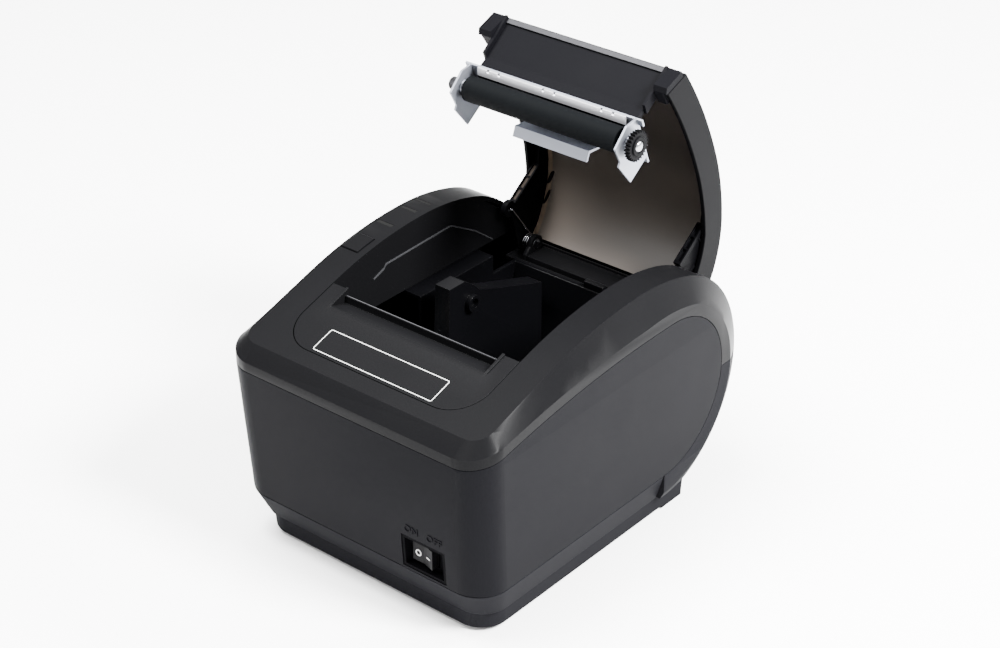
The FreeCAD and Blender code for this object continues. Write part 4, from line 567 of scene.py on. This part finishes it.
def ribbon(name, path, side, out, wide, thick):
    """A flat ribbon round a closed path: at each point its four corners lie half a width to each side.

    Two of them lie in the path's plane and two stand proud of it.
    """
    across = np.array([-0.5, 0.5, 0.5, -0.5]) * wide
    proud = np.array([0.0, 0.0, 1.0, 1.0]) * thick
    grid = path[:, None] + side[:, None] * across[None, :, None] + out * proud[None, :, None]
    return woven(name, grid, around=True, ring=True)


class PRINTER_OT_case(bpy.types.Operator):
    """Finish the case shells"""

    bl_idname = "printer.case"
    bl_label = "Case shells"

    def execute(self, context):
        soften_all(("base_tray", "main_shell", "top_bezel", "rear_cover", "deck_cover"), sizes().edge)
        soften_all(("rubber_feet", "base_screws"), sizes().sheet_edge)
        for side in (-1, 1):
            self.arm_trim(side)
        self.lip_highlight()
        return {"FINISHED"}

    def lip_highlight(self):
        """A painted highlight on the deck's rear lip: a thin, light and glossy flat section carried straight
        across the deck.
        """
        half, middle, top, wide = LIP
        x = np.array([-half, half])
        depth = middle + np.array([-0.5, 0.5, 0.5, -0.5]) * wide
        proud = sizes().proud / MM
        height = top + np.array([-TRIM_SINK, -TRIM_SINK, proud, proud])
        grid = placed(x[:, None], depth[None], height[None])
        dress(woven("deck_lip_edge", grid, around=True), "deck", "trim_abs")

    def arm_trim(self, side):
        """The thin edge along the inside of an arm: a small square section carried along bent lines, a real
        ledge made lighter and glossier than the case as a painted highlight.

        The lines are divided evenly by their length, and each point is the mean of its neighbours, which
        rounds the bends.
        """
        bends = np.array(TRIM_BENDS)
        run = np.concatenate([[0], np.cumsum(np.hypot(*np.diff(bends, axis=0).T))])
        even = np.linspace(0, run[-1], TRIM_STEPS)
        depth, height = (np.interp(even, run, bends[:, i]) for i in (0, 1))
        mean = np.ones(3) / 3
        depth[1:-1] = np.convolve(depth, mean, "valid")
        height[1:-1] = np.convolve(height, mean, "valid")
        inner = ARM_INSIDE - sizes().trim / MM
        x = side * np.array([ARM_INSIDE + TRIM_SINK, inner, inner, ARM_INSIDE + TRIM_SINK])
        rise = np.array([-0.5, -0.5, 0.5, 0.5]) * TRIM_TALL
        grid = placed(x[None], depth[:, None], height[:, None] + rise[None])
        name = "arm_trim_left" if side < 0 else "arm_trim_right"
        dress(woven(name, grid, around=True), "case", "trim_abs")


class PRINTER_OT_bin(bpy.types.Operator):
    """Finish the roll bin, its divider and the hinge ledge"""

    bl_idname = "printer.bin"
    bl_label = "Roll bin"

    def execute(self, context):
        soften_all(("paper_bin", "roll_divider", "hinge_beam", "cover_sensor", "paper_sensor"), sizes().edge)
        soften_all(("hinge_pins",), sizes().sheet_edge)
        return {"FINISHED"}


class PRINTER_OT_mechanism(bpy.types.Operator):
    """Finish the print mechanism"""

    bl_idname = "printer.mechanism"
    bl_label = "Print mechanism"

    def execute(self, context):
        soften_all(("mechanism_frame", "print_head", "head_heatsink", "head_springs", "feed_motor",
                    "motor_pinion", "drive_gear", "drive_gear_stud", "cutter_frame", "cutter_motor",
                    "cutter_gear", "cutter_blade"), sizes().sheet_edge)
        return {"FINISHED"}


class PRINTER_OT_electronics(bpy.types.Operator):
    """Finish the boards and sockets"""

    bl_idname = "printer.electronics"
    bl_label = "Boards and sockets"

    def execute(self, context):
        soften_all(("main_board", "key_board", "board_posts", "connector_panel", "power_inlet", "usb_socket",
                    "network_socket", "drawer_socket"), sizes().sheet_edge)
        return {"FINISHED"}


class PRINTER_OT_controls(bpy.types.Operator):
    """Finish the switch, the feed key and the lights"""

    bl_idname = "printer.controls"
    bl_label = "Controls"

    def execute(self, context):
        soften_all(("switch_housing", "power_rocker", "feed_button"), sizes().edge)
        soften_all(("status_lights",), sizes().sheet_edge)
        return {"FINISHED"}


class PRINTER_OT_marks(bpy.types.Operator):
    """Print and raise the marks on the deck, the front and the rocker"""

    bl_idname = "printer.marks"
    bl_label = "Marks"

    def execute(self, context):
        self.deck_border()
        for words, x, height in SWITCH_WORDS:
            self.raised_word(words, x, height)
        self.off_ring()
        self.on_bar()
        return {"FINISHED"}

    def deck_border(self):
        """A plain line round a bare field: a rectangle with quarter-circle corners on the sloping deck."""
        middle, half_x, half_v, radius = BORDER
        quarter = np.arange(4)[:, None] * np.pi / 2
        angle = (quarter + np.linspace(0, np.pi / 2, CORNER_STEPS)[None]).ravel()
        corner = np.repeat(np.arange(4), CORNER_STEPS)
        u = np.array([1, -1, -1, 1])[corner] * (half_x - radius) + radius * np.cos(angle)
        v = np.array([1, 1, -1, -1])[corner] * (half_v - radius) + radius * np.sin(angle)
        lean = math.atan(DECK_SLOPE)
        level = CROWN - FRONT_ARC + math.sqrt(FRONT_ARC ** 2 - (CROWN_DEPTH - DECK_JOINT) ** 2)
        foot = level - (DECK_JOINT - middle) * DECK_SLOPE
        path = placed(u, middle + v * math.cos(lean), foot + v * math.sin(lean))
        side = np.stack([np.cos(angle), np.sin(angle) * math.cos(lean), np.sin(angle) * math.sin(lean)], -1)
        out = np.array([0, -math.sin(lean), math.cos(lean)])
        dress(ribbon("deck_border", path, side, out, sizes().border, sizes().proud), "deck", "white_ink")

    def raised_word(self, words, x, height):
        """A short word raised out of the leaning front: solid letters, set upright on the front's plane."""
        letters = bpy.data.curves.new("letters", "FONT")
        letters.body = words
        letters.size = sizes().letter
        letters.align_x = "CENTER"
        letters.extrude = sizes().emboss
        holder = bpy.data.objects.new("letters", letters)
        bpy.context.scene.collection.objects.link(holder)
        seen = bpy.context.evaluated_depsgraph_get()
        mesh = bpy.data.meshes.new_from_object(holder.evaluated_get(seen))
        bpy.data.objects.remove(holder)
        flat = np.empty(3 * len(mesh.vertices))
        mesh.vertices.foreach_get("co", flat)
        flat = flat.reshape(-1, 3)
        up = np.array([0, -FRONT_LEAN, 1]) / math.hypot(1, FRONT_LEAN)
        out = np.array([0, -1, -FRONT_LEAN]) / math.hypot(1, FRONT_LEAN)
        foot = placed(x, FRONT_LEAN * (FRONT_TOP - height), height)
        spread = foot + flat[:, :1] * np.array([1.0, 0, 0]) + flat[:, 1:2] * up + flat[:, 2:] * out
        mesh.vertices.foreach_set("co", spread.ravel())
        mesh.materials.clear()
        dress(linked("word_%s" % words.lower(), mesh), "case", "grey_panel_abs")

    def rocker_place(self, face, along, up):
        """Points on a face of the rocker, from distances along it and up it, turned as it is at rest."""
        slope = ROCKER_TILT * face
        x = face * ROCKER_HALF / 2 + along * math.cos(slope)
        y = -ROCKER_RISE - ROCKER_HALF / 2 * math.tan(ROCKER_TILT) - along * math.sin(slope)
        cosine, sine = math.cos(ROCKER_TILT), math.sin(ROCKER_TILT)
        turned = np.broadcast_arrays(x * cosine + y * sine, y * cosine - x * sine, up - MARK_DROP)
        return ROCKER_PIVOT + np.stack(turned, -1) * MM

    def rocker_out(self, face):
        """The outward normal of a face of the rocker at rest."""
        turn = ROCKER_TILT * (1 + face)
        return np.array([-math.sin(turn), -math.cos(turn), 0])

    def off_ring(self):
        """The ring on the rocker's left face: a circle with a flat section."""
        angle = np.linspace(0, 2 * np.pi, RING_STEPS, endpoint=False)
        path = self.rocker_place(-1, RING_RADIUS * np.cos(angle), RING_RADIUS * np.sin(angle))
        middle = self.rocker_place(-1, 0.0, 0.0)
        side = (path - middle) / np.linalg.norm(path - middle, axis=1, keepdims=True)
        ring = ribbon("rocker_ring", path, side, self.rocker_out(-1), MARK_LINE * MM, sizes().proud)
        dress(ring, "rocker", "white_ink")

    def on_bar(self):
        """The bar on the rocker's right face: a flat four-cornered strip."""
        along = np.array([-0.5, 0.5]) * BAR_LONG
        rise = np.array([-0.5, 0.5, 0.5, -0.5]) * MARK_LINE
        proud = np.array([0.0, 0.0, 1.0, 1.0]) * sizes().proud
        grid = self.rocker_place(1, along[:, None], rise[None]) + self.rocker_out(1) * proud[None, :, None]
        dress(woven("rocker_bar", grid, around=True), "rocker", "white_ink")


class PRINTER_OT_cover(bpy.types.Operator):
    """Finish the raised cover"""

    bl_idname = "printer.cover"
    bl_label = "Raised cover"

    def execute(self, context):
        soften_all(("lid_shell", "lid_cheek_left", "lid_cheek_right", "lid_nose", "blade_holder"),
                   sizes().edge)
        soften_all(("tear_bar", "platen_bracket", "fixed_blade", "paper_guide", "bracket_screws",
                    "lid_spring", "platen_bushings"), sizes().sheet_edge)
        self.lining()
        for place in range(CELL_COUNT):
            self.cell(place)
        for number, leaf in enumerate(DARK_LEAVES):
            self.dark_leaf("cheek_prong_%d" % (number + 1), *leaf)
        return {"FINISHED"}

    def lining(self):
        """The smoked inside of the cover: the cover's skin moved in by its wall, as a thin closed sheet."""
        depth = np.linspace(LINING_SPAN[0], LINING_SPAN[1], LINING_STEPS[1])
        near = np.array(cover_skin(depth, LID_WALL + LINING_GAP))
        far = np.array(cover_skin(depth, LID_WALL + LINING_GAP + sizes().lining / MM))
        loop = np.concatenate([far, near[:, ::-1]], 1)
        x = np.linspace(-LINING_HALF, LINING_HALF, LINING_STEPS[0])
        sheet = woven("cover_lining", raised(x[:, None], loop[0][None], loop[1][None]), around=True)
        run = np.concatenate([[0], np.cumsum(np.hypot(*np.diff(far, axis=1)))])
        share = 1 - run / run[-1]
        across = np.linspace(0, 1, LINING_STEPS[0])[:, None]
        across, along = np.broadcast_arrays(across, np.concatenate([share, share[::-1]])[None])
        corner = np.empty(len(sheet.data.loops), int)
        sheet.data.loops.foreach_get("vertex_index", corner)
        chart = np.stack([across, along], -1).reshape(-1, 2)[corner]
        sheet.data.uv_layers.new(name="along").uv.foreach_set("vector", chart.ravel())
        dress(sheet, "cover", "smoked_lining")

    def cell(self, place):
        """The smoked floor of one cell of the left strut: a flat plate along the strut."""
        foot, top = np.array(STRUT_FOOT), np.array(STRUT_TOP)
        reach = np.linalg.norm(top - foot)
        along = (top - foot) / reach
        out = np.array([-along[1], along[0]])
        step = (reach - CELL_FIRST) / CELL_COUNT
        ends = CELL_FIRST + place * step + np.array([0.0, step - CELL_RIM])
        rise = np.array([0.0, 0.0, 1.0, 1.0]) * CELL_FLOOR
        x = -np.array([CELL_SPAN[0], CELL_SPAN[1], CELL_SPAN[1], CELL_SPAN[0]])
        spot = foot + ends[:, None, None] * along + rise[None, :, None] * out
        plate = raised(x[None], spot[..., 0], spot[..., 1])
        dress(woven("strut_cell_%d" % (place + 1), plate, around=True), "cover", "smoked_cell")

    def dark_leaf(self, name, start, end, wide):
        """A dark leaf shape raised on the lining: its width follows a half sine between its two ends."""
        share = np.linspace(0.02, 0.98, LEAF_STEPS)
        half = wide / 2 * np.sin(np.pi * share) ** 0.7
        x = start[0] + (end[0] - start[0]) * share
        middle = start[1] + (end[1] - start[1]) * share
        side = np.array([-1.0, 1.0, 1.0, -1.0])
        depth = middle[:, None] + half[:, None] * side[None]
        whole = np.linspace(LINING_SPAN[0], LINING_SPAN[1], SKIN_STEPS)
        base = np.array(cover_skin(whole, LID_WALL + LEAF_GAP))
        crest = np.array(cover_skin(whole, LID_WALL + LEAF_GAP + LEAF_RISE))
        level = np.array([0.0, 0.0, 1.0, 1.0])
        place = [np.interp(depth, whole, base[i]) * (1 - level) + np.interp(depth, whole, crest[i]) * level
                 for i in (0, 1)]
        dress(woven(name, raised(x[:, None], place[0], place[1]), around=True), "cover", "black_abs")


class PRINTER_OT_platen(bpy.types.Operator):
    """Finish the platen roller"""

    bl_idname = "printer.platen"
    bl_label = "Platen roller"

    def execute(self, context):
        soften_all(("platen_rubber", "platen_gear"), sizes().sheet_edge)
        shaft = turned_bar("platen_shaft_turned", SHAFT_OUTLINE, PLATEN)
        dress(shaft, "platen", SLOT_OF["platen_shaft"], "platen_shaft")
        grooves = (sizes().knurl / MM, KNURL_COUNT)
        bush = turned_bar("platen_end_knurled", BUSH_OUTLINE, PLATEN, 8 * KNURL_COUNT, grooves)
        dress(bush, "platen", NODE_FINISH["platen_end_bush"], "platen_end_bush")
        dress(turned_bar("platen_gear_hub", HUB_OUTLINE, PLATEN), "platen", SLOT_OF["platen_gear"])
        return {"FINISHED"}


class PRINTER_OT_stage(bpy.types.Operator):
    """Set up the floor, lights and camera"""

    bl_idname = "printer.stage"
    bl_label = "Studio"

    def execute(self, context):
        scene = context.scene
        stage = scene.printer_stage
        reach = np.array([-FLOOR_REACH, FLOOR_REACH])
        x, y = np.meshgrid(reach, reach)
        floor_mesh = bpy.data.meshes.new("floor")
        floor_mesh.from_pydata(np.stack([x, y, 0 * x], -1).reshape(-1, 3).tolist(), [], [(0, 1, 3, 2)])
        floor = bpy.data.objects.new("floor", floor_mesh)
        scene.collection.objects.link(floor)
        paper, _, _ = surface("white paper sweep", colours().floor, roughness=0.9)
        floor_mesh.materials.append(paper)
        for name, power, place, side in SOFTBOXES:
            self.softbox(name, place, getattr(stage, power), side)
        world = bpy.data.worlds.new("studio")
        world.use_nodes = True
        world.node_tree.nodes["Background"].inputs["Color"].default_value = (1.0, 1.0, 1.0, 1.0)
        world.node_tree.nodes["Background"].inputs["Strength"].default_value = stage.sky
        scene.world = world
        lens = bpy.data.cameras.new("camera")
        lens.lens = stage.lens
        lens.sensor_width = SENSOR_WIDTH
        camera = bpy.data.objects.new("camera", lens)
        camera.location = stage.eye
        camera.rotation_euler = (math.pi / 2 - stage.tip, 0, stage.turn)
        scene.collection.objects.link(camera)
        scene.camera = camera
        return {"FINISHED"}

    def softbox(self, name, place, power, side):
        """A square light that faces the middle of the printer."""
        lamp = bpy.data.lights.new(name, "AREA")
        lamp.energy = power
        lamp.size = side
        light = bpy.data.objects.new(name, lamp)
        light.location = place
        aim = Vector(AIM) - Vector(place)
        light.rotation_euler = aim.to_track_quat("-Z", "Y").to_euler()
        bpy.context.scene.collection.objects.link(light)


STEPS = (PRINTER_OT_case, PRINTER_OT_bin, PRINTER_OT_mechanism, PRINTER_OT_electronics, PRINTER_OT_controls,
         PRINTER_OT_marks, PRINTER_OT_cover, PRINTER_OT_platen, PRINTER_OT_stage)


class PRINTER_PT_dresser(bpy.types.Panel):
    """Lists the steps that dress the printer"""

    bl_idname = "PRINTER_PT_dresser"
    bl_label = "Receipt printer"
    bl_space_type = "VIEW_3D"
    bl_region_type = "UI"
    bl_category = "Printer"

    def draw(self, context):
        for step in STEPS:
            self.layout.operator(step.bl_idname)


CLASSES = (PrinterColours, PrinterSizes, PrinterStage) + STEPS + (PRINTER_PT_dresser,)


def register():
    for kind in CLASSES:
        bpy.utils.register_class(kind)
    bpy.types.Scene.printer_colours = PointerProperty(type=PrinterColours)
    bpy.types.Scene.printer_sizes = PointerProperty(type=PrinterSizes)
    bpy.types.Scene.printer_stage = PointerProperty(type=PrinterStage)


def unregister():
    del bpy.types.Scene.printer_stage
    del bpy.types.Scene.printer_sizes
    del bpy.types.Scene.printer_colours
    for kind in reversed(CLASSES):
        bpy.utils.unregister_class(kind)


def main():
    register()
    for step in STEPS:
        family, name = step.bl_idname.split(".")
        getattr(getattr(bpy.ops, family), name)()


if __name__ == "__main__":
    main()
